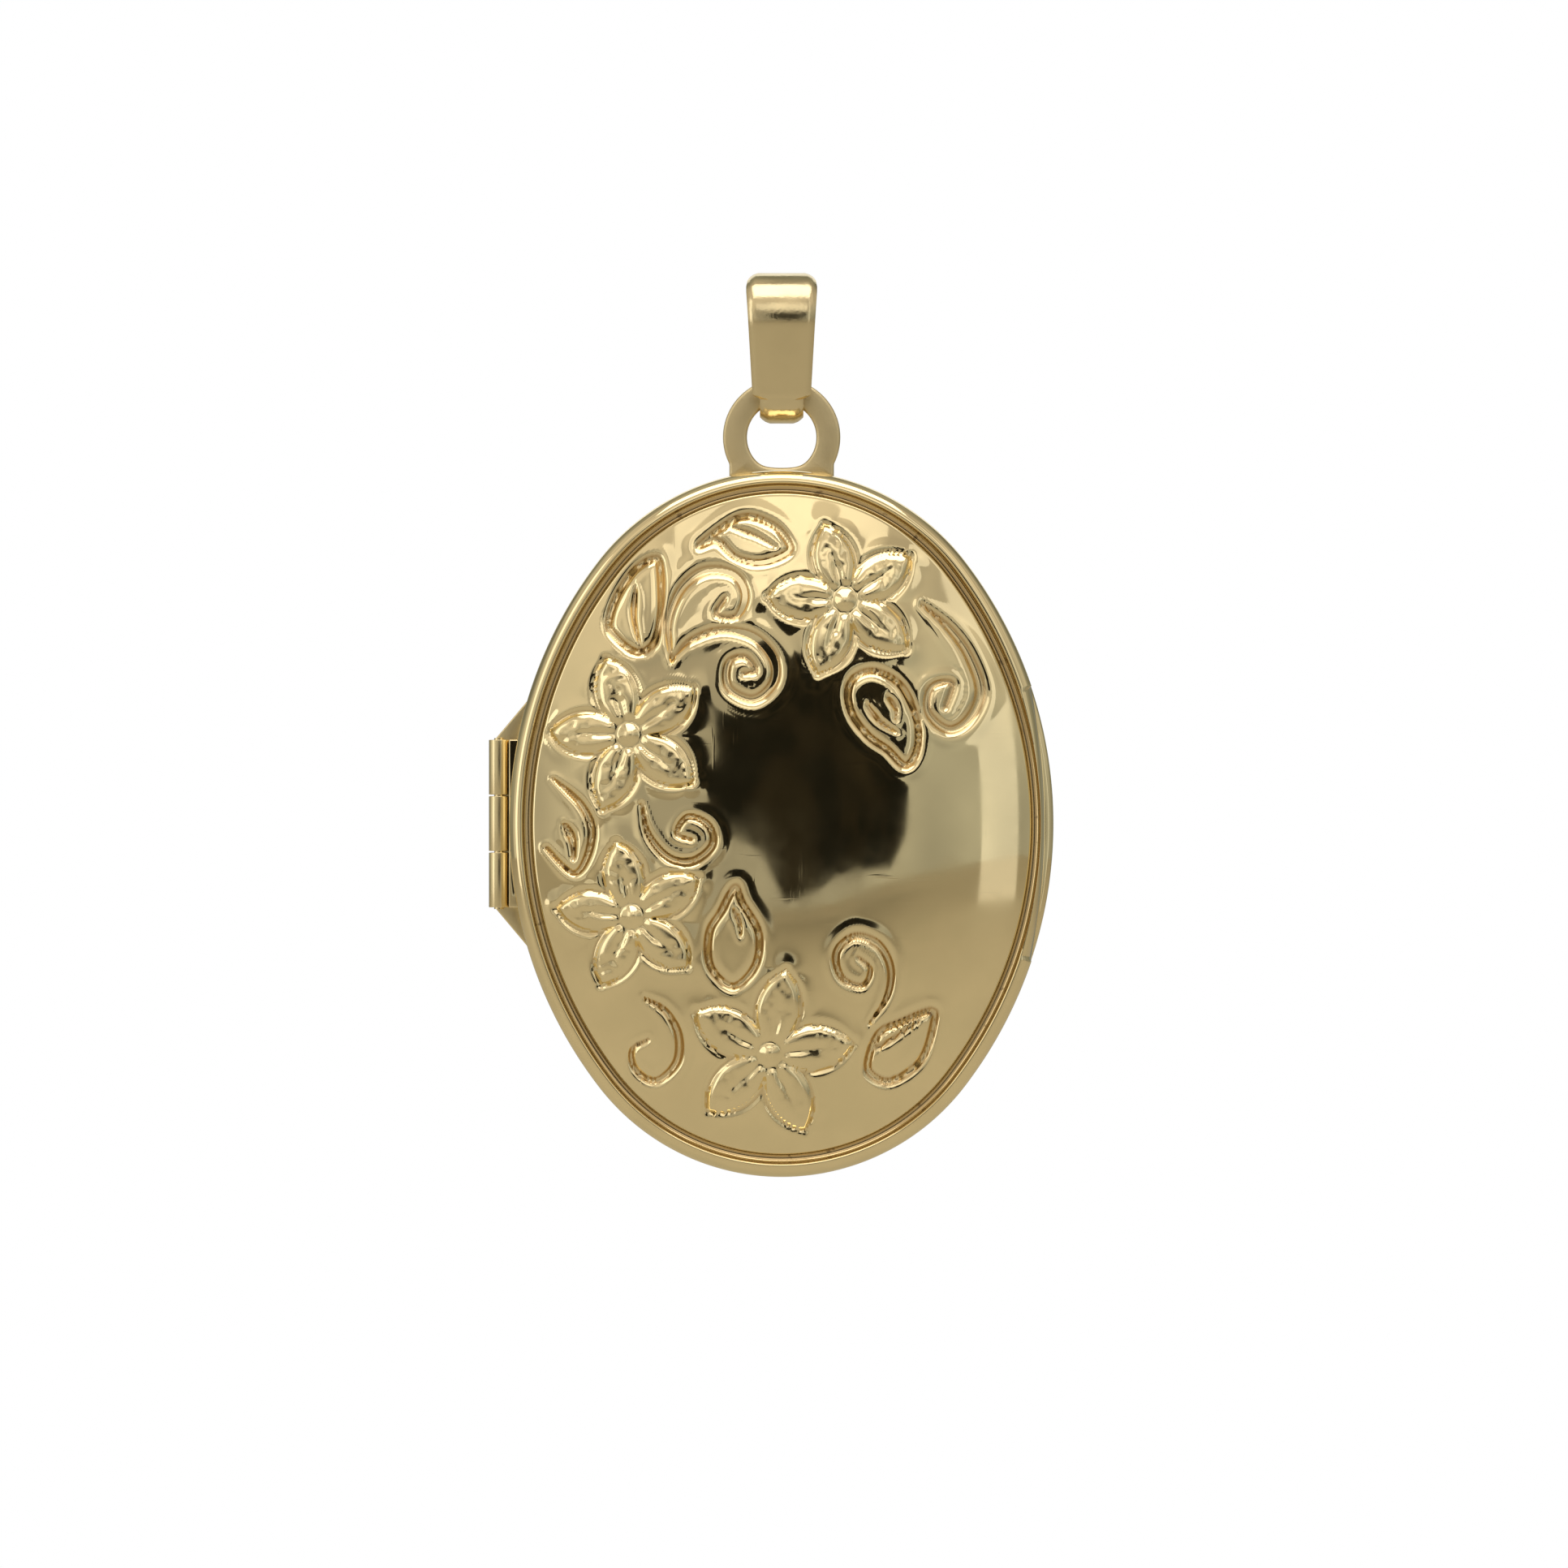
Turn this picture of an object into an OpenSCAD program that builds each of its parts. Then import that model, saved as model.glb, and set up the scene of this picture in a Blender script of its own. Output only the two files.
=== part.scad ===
// Oval photo locket: two stamped half cases on a three-knuckle side hinge, with a snap lip,
// two framed photo recesses, a top loop soldered to the back half and a tapered bail.
// Millimetres. +Z is up as the locket hangs, the cover faces -Y, and the hinge is at -X.
// The origin is the centre of the bail's chain eye.

/* [Case] */
// Width of the oval case across its rim
case_w = 18.5; // [15.5:0.5:22.5]
// Height of the oval case across its rim, which is always more than its width
case_h = 24.0; // [23:0.5:34]
// Wall of the rim round each half
rim_wall = 0.55; // [0.45:0.05:0.8]
// Radius that rounds the outer edge of each rim into its bead
bead_r = 0.42; // [0.3:0.02:0.5]
// Width of the flat crest left on the bead
bead_flat = 0.04; // [0.02:0.01:0.1]
// Depth of the channel between the bead and the dome
channel_depth = 0.32; // [0.2:0.02:0.45]
// Distance from the rim's outer edge to the edge of the dome
dome_inset = 0.80; // [0.7:0.05:1.2]
// Height of the upright step at the edge of the dome
dome_step = 0.10; // [0.05:0.05:0.3]
// Rise of the dome above that step
dome_rise = 1.40; // [0.8:0.1:2.4]
// Radius of each end of the level patch in the middle of the dome
dome_middle = 0.6; // [0.3:0.1:2]
// Thickness of the stamped sheet
sheet = 0.28; // [0.2:0.02:0.4]
// Gap between the two halves when they are shut
seam = 0.02; // [0.01:0.01:0.05]

/* [Nail relief] */
// Half the length of the crescent cut in the cover's rim, opposite the hinge
relief_half = 4.65; // [3:0.25:6]
// Depth of the crescent at its middle
relief_depth = 0.36; // [0.2:0.02:0.4]
// Depth of the small step at each end of the crescent
relief_step = 0.12; // [0.05:0.01:0.2]

/* [Snap lip] */
// Thickness of the lip that stands up out of the back half
lip_t = 0.20; // [0.15:0.01:0.3]
// How far the lip reaches into the cover
lip_reach = 0.40; // [0.3:0.05:0.7]
// Clearance between the lip and the cover's wall
lip_clear = 0.04; // [0.03:0.01:0.08]
// Half the length of lip that is cut away beside the hinge
lip_gap_half = 3.2; // [2:0.2:5]
// How far the snap ridge stands out of the lip
ridge_proud = 0.02; // [0.01:0.005:0.025]
// Height of the snap ridge
ridge_h = 0.12; // [0.08:0.01:0.2]
// Half the length of the snap ridge
ridge_half = 3.0; // [1:0.5:5]

/* [Photo frames] */
// Distance from the rim's outer edge to the opening of the photo frame
frame_inset = 2.0; // [1.7:0.1:3]
// Thickness of the frame's flat ring
frame_t = 0.20; // [0.15:0.01:0.3]
// Width of the raised border round the frame's opening
border_w = 0.40; // [0.2:0.05:0.6]
// Height of that border
border_h = 0.15; // [0.1:0.01:0.25]
// Gap left round each frame where it springs into its half
frame_fit = 0.05; // [0.03:0.01:0.1]
// Gap between a frame's face and the tip of the snap lip
frame_gap = 0.05; // [0.03:0.01:0.1]
// Radius of the fingernail notch in the frame's lower edge
notch_r = 0.45; // [0.3:0.05:0.7]
// Thickness of the clear window
window_t = 0.20; // [0.1:0.02:0.3]
// Thickness of the photo card
card_t = 0.15; // [0.1:0.01:0.3]
// How much smaller each loose sheet is than the piece over it, all round
sheet_fit = 0.02; // [0.01:0.01:0.05]

/* [Hinge] */
// Outer radius of the knuckles
knuckle_r = 0.34; // [0.3:0.02:0.45]
// Radius of the hinge pin
pin_r = 0.16; // [0.12:0.01:0.2]
// Radial clearance of the pin in the cover's knuckle
pin_clear = 0.03; // [0.01:0.01:0.05]
// How far each end of the pin stands out of the barrel
pin_proud = 0.06; // [0.02:0.02:0.1]
// Overall length of the barrel
barrel_len = 5.7; // [4.8:0.1:7.5]
// Gap between neighbouring knuckles
knuckle_gap = 0.05; // [0.03:0.01:0.1]
// Gap between the barrel and the side of the case
barrel_clear = 0.03; // [0.03:0.01:0.06]
// Clearance of the cover's knuckle from the back half's hinge plate
turn_clear = 0.06; // [0.05:0.01:0.1]
// Length of the hinge plate where it meets the case
plate_len = 8.8; // [7.6:0.2:10]
// How far the hinge plate reaches beyond the hinge axis
plate_reach = 0.15; // [0:0.05:0.25]
// Thickness of the hinge plate
plate_t = 0.40; // [0.3:0.05:0.6]
// Distance of the hinge plate behind the plane where the halves part
plate_y = 0.11; // [0.08:0.01:0.15]
// Thickness of the tongue that joins the cover's knuckle to the bearer
tongue_t = 0.24; // [0.18:0.02:0.28]
// Distance of that tongue in front of the plane where the halves part
tongue_y = 0.06; // [0.04:0.01:0.1]
// Height of the bearer strip on the cover, which carries its knuckle
bearer_h = 0.85; // [0.7:0.05:1.0]

/* [Top loop] */
// Outer radius of the loop
loop_r = 2.0; // [1.8:0.1:2.6]
// Radius of the loop's hole
loop_hole_r = 1.18; // [1.1:0.02:1.5]
// Thickness of the loop
loop_t = 0.60; // [0.5:0.05:0.8]
// Height of the hole's centre above the top of the case
loop_rise = 1.15; // [1:0.05:1.4]
// Half the width of the loop's foot, where it is soldered to the case
loop_foot = 1.78; // [1.5:0.05:2]
// Height of the foot above the top of the case, outside the loop
foot_h = 0.35; // [0.2:0.05:0.6]
// Height of the solder left in the bottom of the hole
web_h = 0.08; // [0.02:0.02:0.2]
// Gap between the loop and the plane where the halves part
loop_seat = 0.05; // [0.04:0.01:0.1]

/* [Bail] */
// Inner radius of the chain eye at the top
eye_r = 1.20; // [1:0.05:1.6]
// Inner radius of the bail's foot, which carries the loop
foot_r = 0.65; // [0.6:0.05:0.8]
// Thickness of the bail's strip
bail_wall = 0.35; // [0.3:0.05:0.5]
// Distance between the centres of the eye and of the foot
bail_span = 2.58; // [2.3:0.1:4]
// Width of the strip at the level of the eye's centre
strip_top_w = 2.42; // [2:0.1:3]
// Width of the strip at the lower end of its face
strip_low_w = 2.0; // [1.7:0.1:2.4]
// Width of the strip where it passes through the loop
strip_foot_w = 1.48; // [1.2:0.04:1.5]
// Height from the foot's centre down to the shoulders of the strip
shoulder_drop = 0.10; // [0.05:0.05:0.15]
// Height of the sloping shoulder between the face and the foot
shoulder_h = 0.07; // [0.05:0.01:0.15]
// Width of the slope that trims each corner of the strip
strip_trim = 0.15; // [0.05:0.05:0.3]
// Height of that slope at the upper end of the strip
strip_trim_h = 0.45; // [0.2:0.05:0.8]
// Clearance between the loop and the bail's foot as the case hangs
hang_gap = 0.03; // [0.02:0.01:0.05]

/* [Hidden] */
$fn = 96;

// Sizes that only serve the drawing: a length beyond every piece, how far a cut starts outside
// what it cuts, and the facets of the large circles that cut small pieces.
far = 30;
cut_over = 0.5;
fine = 360;

// Depths from the plane where the halves part, built up from what each half holds.
frame_y = lip_reach + frame_gap;
window_y = frame_y + frame_t;
card_y = window_y + window_t;
ledge_y = card_y + card_t;
floor_y = ledge_y + sheet;
rim_h = floor_y + channel_depth;

// The case is a four-centred oval: two end arcs and two side arcs that run smoothly together.
half_w = case_w / 2;
half_h = case_h / 2;
diagonal = sqrt(pow(half_w, 2) + pow(half_h, 2));
end_r = (pow(diagonal, 2) - (half_h - half_w) * diagonal) / case_h;
side_r = (pow(diagonal, 2) + (half_h - half_w) * diagonal) / case_w;
end_c = half_h - end_r;
side_c = side_r - half_w;
side_half = atan2(end_c, side_c);

// The dome rises in an arc from its edge and levels out near the middle of the case.
dome_y = floor_y + dome_step;
dome_top = dome_y + dome_rise;
dome_level = end_r - dome_middle;
dome_r = (pow(dome_level - dome_inset, 2) + pow(dome_rise, 2)) / (2 * dome_rise);
dome_parts = 16;
bead_parts = 8;

// Inner edges of the two recesses.
lip_inset = rim_wall + lip_clear;
front_recess = rim_wall;
back_recess = lip_inset + lip_t;

// The crescent is the case's edge less a large circle through three points.
relief_edge_x = sqrt(pow(side_r, 2) - pow(relief_half, 2)) - side_c;
relief_rise = (half_w - relief_depth) - (relief_edge_x - relief_step);
relief_r = (pow(relief_half, 2) + pow(relief_rise, 2)) / (2 * relief_rise);

// Hinge places.
axis_x = -(half_w + barrel_clear + knuckle_r);
knuckle_len = (barrel_len - 2 * knuckle_gap) / 3;
bearer_x = -(half_w + barrel_clear / 2);

// The hinge plate's slanting edges run from the ends of the barrel to the side of the case, and are
// drawn on into the case, whose outline cuts them off.
plate_x = axis_x - plate_reach;
plate_slope = (plate_len - barrel_len) / 2
              / (side_c - sqrt(pow(side_r, 2) - pow(plate_len / 2, 2)) - plate_x);
plate_run = half_w / 3;

// The bearer meets the case in straight steps that run just outside the side arc.
bearer_parts = 12;
bearer_step = 2 * asin(barrel_len / 2 / side_r) / bearer_parts;
bearer_r = side_r / cos(bearer_step / 2);

// The case hangs from the bail's foot, and the two touch at the corners of the strip.
foot_z = -bail_span;
bail_lean = asin((eye_r - foot_r) / bail_span);
bail_parts = 24;
loop_z = foot_z - sqrt(pow(loop_hole_r, 2) - pow(strip_foot_w / 2, 2))
                - sqrt(pow(foot_r, 2) - pow(loop_t / 2, 2)) + hang_gap;
case_z = loop_z - loop_rise - half_h;
part_y = -(loop_t / 2 + loop_seat);

gold = [0.79, 0.68, 0.44];
pale_gold = [0.84, 0.76, 0.55];

// Moves what follows to the middle of the case, on the plane where the halves part.
module in_case() {
    translate([0, part_y, case_z]) children();
}

// Each half is drawn lying down, with its opening at z = 0 and its dome towards +Z.
module in_back() {
    in_case() rotate([-90, 0, 0]) children();
}

module in_cover() {
    in_case() rotate([90, 0, 0]) children();
}

// The four arcs of the oval, in order round it: right side, top end, left side, bottom end.
function arc_half(quarter) = quarter % 2 == 0 ? side_half : 90 - side_half;
function arc_r(quarter) = quarter % 2 == 0 ? side_r : end_r;
function arc_c(quarter) = quarter % 2 == 0 ? -side_c : end_c;

// In a small oval, a side arc's share stops at the middle, and so stays inside the other side.
function arc_start(quarter, inset) = quarter % 2 == 0 && inset > half_w - side_c ? side_c : 0;

// The part of a wedge about the X axis that lies beyond a given distance from its point.
module wedge(start, half_angle) {
    slope = tan(half_angle);
    polygon([[start, -start * slope], [far, -far * slope], [far, far * slope],
             [start, start * slope]]);
}

// The oval outline, inset from the rim's outer edge.
module oval_face(inset) {
    union()
        for (quarter = [0:3])
            rotate(90 * quarter)
                translate([arc_c(quarter), 0])
                    intersection() {
                        circle(r = arc_r(quarter) - inset);
                        wedge(arc_start(quarter, inset), arc_half(quarter));
                    }
}

// An oval prism between two depths.
module oval(inset, z0, z1) {
    translate([0, 0, z0]) linear_extrude(height = z1 - z0) oval_face(inset);
}

// Carries a profile round the oval: in the profile, x = 0 is the rim's outer edge and -x is inwards.
module round_the_oval() {
    union()
        for (quarter = [0:3])
            rotate(90 * quarter)
                translate([arc_c(quarter), 0, 0])
                    rotate(-arc_half(quarter))
                        rotate_extrude(angle = 2 * arc_half(quarter))
                            translate([arc_r(quarter), 0])
                                children();
}

// A rectangle in that profile, between two insets and two depths.
module band(inset_in, inset_out, z0, z1) {
    translate([-inset_in, z0]) square([inset_in - inset_out, z1 - z0]);
}

// Height of the dome's outer face at a given inset.
function dome_h(inset) = dome_top - dome_r + sqrt(pow(dome_r, 2) - pow(dome_level - inset, 2));

// The insets at which the dome's section has a corner, from its edge to the level patch.
dome_insets = [for (i = [0:dome_parts]) dome_inset + (dome_level - dome_inset) * i / dome_parts];

// Section of the rim: wall, rounded bead, and the channel's floor running in under the dome.
module rim_section() {
    bead = [for (i = [0:bead_parts])
        [bead_r * cos(90 * i / bead_parts) - bead_r,
         bead_r * sin(90 * i / bead_parts) + rim_h - bead_r]];
    polygon(concat([[0, seam / 2]],
                   bead,
                   [[-bead_r - bead_flat, rim_h], [-bead_r - bead_flat, floor_y],
                    [-dome_inset - sheet, floor_y], [-dome_inset - sheet, ledge_y],
                    [-rim_wall, ledge_y], [-rim_wall, seam / 2]]));
}

// Section of the dome: a sheet of even depth, with an upright step at its edge.
module dome_section() {
    outside = [for (i = dome_insets) [-i, dome_h(i)]];
    inside = [for (n = [dome_parts:-1:1]) [-dome_insets[n], dome_h(dome_insets[n]) - sheet]];
    polygon(concat([[-dome_inset, ledge_y]],
                   outside,
                   inside,
                   [[-dome_inset - sheet, dome_y - sheet / 2], [-dome_inset - sheet, ledge_y]]));
}

module half_shell() {
    union() {
        round_the_oval() rim_section();
        round_the_oval() dome_section();
        oval(dome_level, dome_top - sheet, dome_top);
    }
}

// The crescent of rim that is cut away so that a fingernail can lift the cover.
module nail_relief() {
    difference() {
        translate([0, -relief_half, -cut_over])
            cube([case_w, 2 * relief_half, rim_h + 2 * cut_over]);
        translate([half_w - relief_depth - relief_r, 0, -2 * cut_over])
            cylinder(r = relief_r, h = rim_h + 4 * cut_over, $fn = fine);
    }
}

module front_case() {
    color(gold) in_cover()
        difference() {
            half_shell();
            nail_relief();
        }
}

module back_case() {
    color(gold) in_back() half_shell();
}

// The lip is seated on the back half's ledge and open beside the hinge. Depths towards the
// cover are negative here. A low ridge beside the nail relief gives the catch its click.
module snap_lip() {
    color(pale_gold) in_back()
        union() {
            round_the_oval() band(back_recess, rim_wall, seam, ledge_y);
            difference() {
                round_the_oval() band(back_recess, lip_inset, -lip_reach, 2 * seam);
                translate([-case_w, -lip_gap_half, -lip_reach - cut_over])
                    cube([case_w, 2 * lip_gap_half, lip_reach + cut_over]);
            }
            intersection() {
                round_the_oval()
                    band(lip_inset + lip_t / 2, lip_inset - ridge_proud,
                         -lip_reach / 2 - ridge_h / 2, -lip_reach / 2 + ridge_h / 2);
                translate([0, -ridge_half, -lip_reach])
                    cube([case_w, 2 * ridge_half, lip_reach]);
            }
        }
}

// A sprung oval frame with a raised border and a notch to lift it out by.
module photo_frame(recess) {
    difference() {
        round_the_oval()
            union() {
                band(frame_inset, recess + frame_fit, frame_y, window_y);
                band(frame_inset, frame_inset - border_w, frame_y - border_h, window_y);
            }
        translate([half_w - frame_inset, 0, 0])
            cylinder(r = notch_r, h = ledge_y);
    }
}

module front_photo_frame() {
    color(pale_gold) in_cover() photo_frame(front_recess);
}

module back_photo_frame() {
    color(pale_gold) in_back() photo_frame(back_recess);
}

// The clear window under a frame, and the blank photo card under the window.
module window_sheet(recess) {
    oval(recess + frame_fit + sheet_fit, window_y, card_y);
}

module card_sheet(recess) {
    oval(recess + frame_fit + 2 * sheet_fit, card_y, ledge_y);
}

module front_window() {
    color([0.85, 0.9, 0.95, 0.35]) in_cover() window_sheet(front_recess);
}

module back_window() {
    color([0.85, 0.9, 0.95, 0.35]) in_back() window_sheet(back_recess);
}

module front_card() {
    color("ivory") in_cover() card_sheet(front_recess);
}

module back_card() {
    color("ivory") in_back() card_sheet(back_recess);
}

// A cylinder on the hinge axis between two heights.
module on_axis(r, z0, z1) {
    translate([axis_x, 0, z0]) cylinder(r = r, h = z1 - z0);
}

// The whole outline of the case, cut out of what is fitted to its side or top.
module case_outline() {
    rotate([90, 0, 0]) oval(0, -far, far, $fn = fine);
}

// The trapezoid plate behind the barrel, fitted to the side of the back half.
module hinge_plate() {
    color(gold) in_case()
        difference() {
            translate([0, plate_y + plate_t, 0])
                rotate([90, 0, 0])
                    linear_extrude(height = plate_t)
                        polygon([[plate_x, -barrel_len / 2],
                                 [plate_x, barrel_len / 2],
                                 [plate_x + plate_run, barrel_len / 2 + plate_slope * plate_run],
                                 [plate_x + plate_run, -barrel_len / 2 - plate_slope * plate_run]]);
            case_outline();
            on_axis(knuckle_r, -plate_len, plate_len);
            on_axis(knuckle_r + turn_clear, -knuckle_len / 2 - knuckle_gap, knuckle_len / 2 + knuckle_gap);
        }
}

// The strip that squares up the oval side of the cover along the barrel.
module front_bearer() {
    steps = [for (i = [-bearer_parts / 2:bearer_parts / 2])
        [side_c - bearer_r * cos(bearer_step * i), bearer_r * sin(bearer_step * i)]];
    end_z = steps[bearer_parts][1];
    color(gold) in_case()
        translate([0, -seam / 2, 0])
            rotate([90, 0, 0])
                linear_extrude(height = bearer_h - seam / 2)
                    polygon(concat(steps, [[bearer_x, end_z], [bearer_x, -end_z]]));
}

// A back knuckle, gripping the pin, with one end at the end of the barrel.
module back_knuckle() {
    difference() {
        on_axis(knuckle_r, knuckle_len / 2 + knuckle_gap, barrel_len / 2);
        on_axis(pin_r, 0, barrel_len);
    }
}

module back_knuckle_upper() {
    color(gold) in_case() back_knuckle();
}

module back_knuckle_lower() {
    color(gold) in_case() mirror([0, 0, 1]) back_knuckle();
}

// The cover's knuckle turns on the pin, and its tongue is soldered to the bearer.
module front_knuckle() {
    color(gold) in_case()
        difference() {
            union() {
                on_axis(knuckle_r, -knuckle_len / 2, knuckle_len / 2);
                translate([axis_x, -tongue_y - tongue_t, -knuckle_len / 2])
                    cube([bearer_x - axis_x, tongue_t, knuckle_len]);
            }
            on_axis(pin_r + pin_clear, -barrel_len, barrel_len);
        }
}

module hinge_pin() {
    color(pale_gold) in_case()
        on_axis(pin_r, -barrel_len / 2 - pin_proud, barrel_len / 2 + pin_proud);
}

// The flat loop, soldered to the top of the back half and clear of the cover.
module top_loop() {
    color(gold)
        difference() {
            translate([0, loop_t / 2, 0])
                rotate([90, 0, 0])
                    linear_extrude(height = loop_t)
                        difference() {
                            union() {
                                translate([0, loop_z]) circle(r = loop_r);
                                translate([-loop_foot, case_z + half_h - loop_foot])
                                    square([2 * loop_foot, loop_foot + foot_h]);
                            }
                            intersection() {
                                translate([0, loop_z]) circle(r = loop_hole_r);
                                translate([-loop_r, case_z + half_h + web_h])
                                    square([2 * loop_r, 2 * loop_r]);
                            }
                        }
            in_case() case_outline();
        }
}

// Points along an arc about a centre on the Y axis.
function turn_points(r, from, to, y) =
    [for (i = [0:bail_parts])
        let (a = from + (to - from) * i / bail_parts) [r * cos(a), y + r * sin(a)]];

// Side view of the bent strip: the eye's turn and the foot's, joined by straight runs.
function strip_side(grow) =
    concat(turn_points(eye_r + grow, -bail_lean, 180 + bail_lean, 0),
           turn_points(foot_r + grow, 180 + bail_lean, 360 - bail_lean, foot_z));

module strip_loop() {
    linear_extrude(height = 2 * strip_top_w, center = true)
        difference() {
            polygon(strip_side(bail_wall));
            polygon(strip_side(0));
        }
}

// Front view of the strip: a tapered face, shoulders, and the narrow foot.
module strip_face() {
    top_z = eye_r + bail_wall;
    low_z = foot_z - foot_r - bail_wall;
    shoulder_z = foot_z - shoulder_drop;
    half = [[strip_foot_w / 2 - strip_trim, low_z],
            [strip_foot_w / 2, low_z + strip_trim],
            [strip_foot_w / 2, shoulder_z - shoulder_h],
            [strip_low_w / 2, shoulder_z],
            [strip_top_w / 2, top_z - strip_trim_h],
            [strip_top_w / 2 - strip_trim, top_z]];
    polygon(concat(half, [for (i = [len(half) - 1:-1:0]) [-half[i][0], half[i][1]]]));
}

module bail() {
    color(gold)
        intersection() {
            rotate([90, 0, 90]) strip_loop();
            rotate([90, 0, 0])
                linear_extrude(height = far, center = true)
                    strip_face();
        }
}

front_case();
back_case();
snap_lip();
front_photo_frame();
back_photo_frame();
front_window();
back_window();
front_card();
back_card();
hinge_plate();
front_bearer();
back_knuckle_upper();
back_knuckle_lower();
front_knuckle();
hinge_pin();
top_loop();
bail();
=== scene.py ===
# %% [markdown]
# # An oval gold locket
# A photo locket is two stamped half cases on a small side hinge. The cover is engraved with
# flowers, leaves and scrolls, a flat loop is soldered to its top, and a tapered bail hangs it
# from a chain. This lesson loads the locket's working model as a fixed frame, and then makes
# the pieces that are seen: polished metal shows every facet, so the shells are built again as
# fine meshes, and the sheets inside keep the working model's shape and get a finish.

# %% The frame
import math

import bmesh
import bpy
import numpy as np
from mathutils import Matrix, Vector


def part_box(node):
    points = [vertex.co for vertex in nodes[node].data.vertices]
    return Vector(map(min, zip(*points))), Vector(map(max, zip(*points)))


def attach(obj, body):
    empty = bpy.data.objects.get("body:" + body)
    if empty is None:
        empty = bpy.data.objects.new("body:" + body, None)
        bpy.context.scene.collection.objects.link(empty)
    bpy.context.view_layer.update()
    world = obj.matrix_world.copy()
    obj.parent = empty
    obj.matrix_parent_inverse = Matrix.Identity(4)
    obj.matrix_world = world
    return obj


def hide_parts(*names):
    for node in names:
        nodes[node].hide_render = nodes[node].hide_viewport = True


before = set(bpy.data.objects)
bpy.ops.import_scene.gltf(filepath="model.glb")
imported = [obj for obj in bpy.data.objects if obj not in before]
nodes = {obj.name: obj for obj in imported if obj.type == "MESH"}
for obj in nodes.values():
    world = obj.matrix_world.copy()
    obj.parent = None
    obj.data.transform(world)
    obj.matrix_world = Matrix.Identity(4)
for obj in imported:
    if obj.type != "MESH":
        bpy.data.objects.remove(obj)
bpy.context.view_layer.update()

MM = 0.001
scene = bpy.context.scene

# %% [markdown]
# The camera comes first. It looks straight at the cover from far off with a long lens, as is
# usual for jewellery, so the case shows almost without perspective. The view is as wide as the
# locket needs with some room round it.

# %% The camera
VIEW_WIDTH = 53.38 * MM
VIEW_DISTANCE = 0.6
VIEW_CENTRE = (0.08 * MM, -15.85 * MM)
SENSOR = 36.0

camera_data = bpy.data.cameras.new("camera")
camera_data.sensor_width = SENSOR
camera_data.lens = SENSOR * VIEW_DISTANCE / VIEW_WIDTH
camera_data.clip_start = 0.01
camera = bpy.data.objects.new("camera", camera_data)
camera.location = (VIEW_CENTRE[0], -VIEW_DISTANCE, VIEW_CENTRE[1])
camera.rotation_euler = (math.radians(90), 0, 0)
scene.collection.objects.link(camera)
scene.camera = camera
print("lens", round(camera_data.lens), "mm")

# %% [markdown]
# ## Sizes
# Everything is measured from the frame: the case's half width and half height, the plane where
# the halves part, and how far each half stands from it. Only the small sizes of the rim's
# section are given here, in millimetres, because they are details of the stamping.

# %% Sizes from the frame
def box_mm(node):
    low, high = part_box(node)
    return np.array(low) / MM, np.array(high) / MM


back_low, back_high = box_mm("back_case")
_, front_high = box_mm("front_case")
half_w = (back_high[0] - back_low[0]) / 2
half_h = (back_high[2] - back_low[2]) / 2
case_z = (back_high[2] + back_low[2]) / 2
part_y = (front_high[1] + back_low[1]) / 2
dome_top = back_high[1] - part_y
print("case", round(half_w * 2, 2), "x", round(half_h * 2, 2), "depth of a half", round(dome_top, 2))

# %% [markdown]
# The oval has four centres: two side arcs and two end arcs that run smoothly together. A
# point's distance in from the outline, its inset, is easy to work out on such an oval, and the
# whole section of the stamping (wall, bead, channel, dome) depends only on the inset. The
# inset also gives a smooth way to walk round the rim: by the direction the outline faces.

# %% The four-centred oval
diagonal = math.hypot(half_w, half_h)
end_r = (diagonal**2 - (half_h - half_w) * diagonal) / (2 * half_h)
side_r = (diagonal**2 + (half_h - half_w) * diagonal) / (2 * half_w)
end_c = half_h - end_r
side_c = side_r - half_w
side_half = math.atan2(end_c, side_c)


def inset_of(x, y):
    """How far in from the outline each point lies."""
    x, y = np.abs(x), np.abs(y)
    at_end = np.arctan2(y, x + side_c) > side_half
    return np.where(at_end, end_r - np.hypot(x, y - end_c), side_r - np.hypot(x + side_c, y))


def oval_at(turn, inset):
    """Points on the oval at an inset. turn counts quarter turns from +X."""
    quarter = np.floor(turn)
    part = turn - quarter
    odd = (quarter.astype(int) % 2) == 1
    part = np.where(odd, 1 - part, part)
    share = side_r * side_half / (side_r * side_half + end_r * (math.pi / 2 - side_half))
    on_side = part < share
    face = np.where(on_side, side_half * part / share,
                    side_half + (math.pi / 2 - side_half) * (part - share) / (1 - share))
    x = np.where(on_side, -side_c + (side_r - inset) * np.cos(face), (end_r - inset) * np.cos(face))
    y = np.where(on_side, (side_r - inset) * np.sin(face), end_c + (end_r - inset) * np.sin(face))
    signs = [(1, 1), (-1, 1), (-1, -1), (1, -1)]
    which = quarter.astype(int) % 4
    return (x * np.array([s[0] for s in signs])[which], y * np.array([s[1] for s in signs])[which])


print("end arcs", round(end_r, 2), "side arcs", round(side_r, 2))

# %% [markdown]
# ## The engraving
# The ornament is pressed and cut into the cover: scrolls and leaf outlines are rounded
# grooves, and the four flowers stand up with a round bead in the middle and a stippled surface
# on each petal. Sculpting by hand would not repeat, and a bump in the material would leave the
# edges flat, so the ornament is a height for every point of the dome, summed up from strokes.
# A stroke is a smooth line through a few points, in millimetres from the centre of the case.

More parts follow.
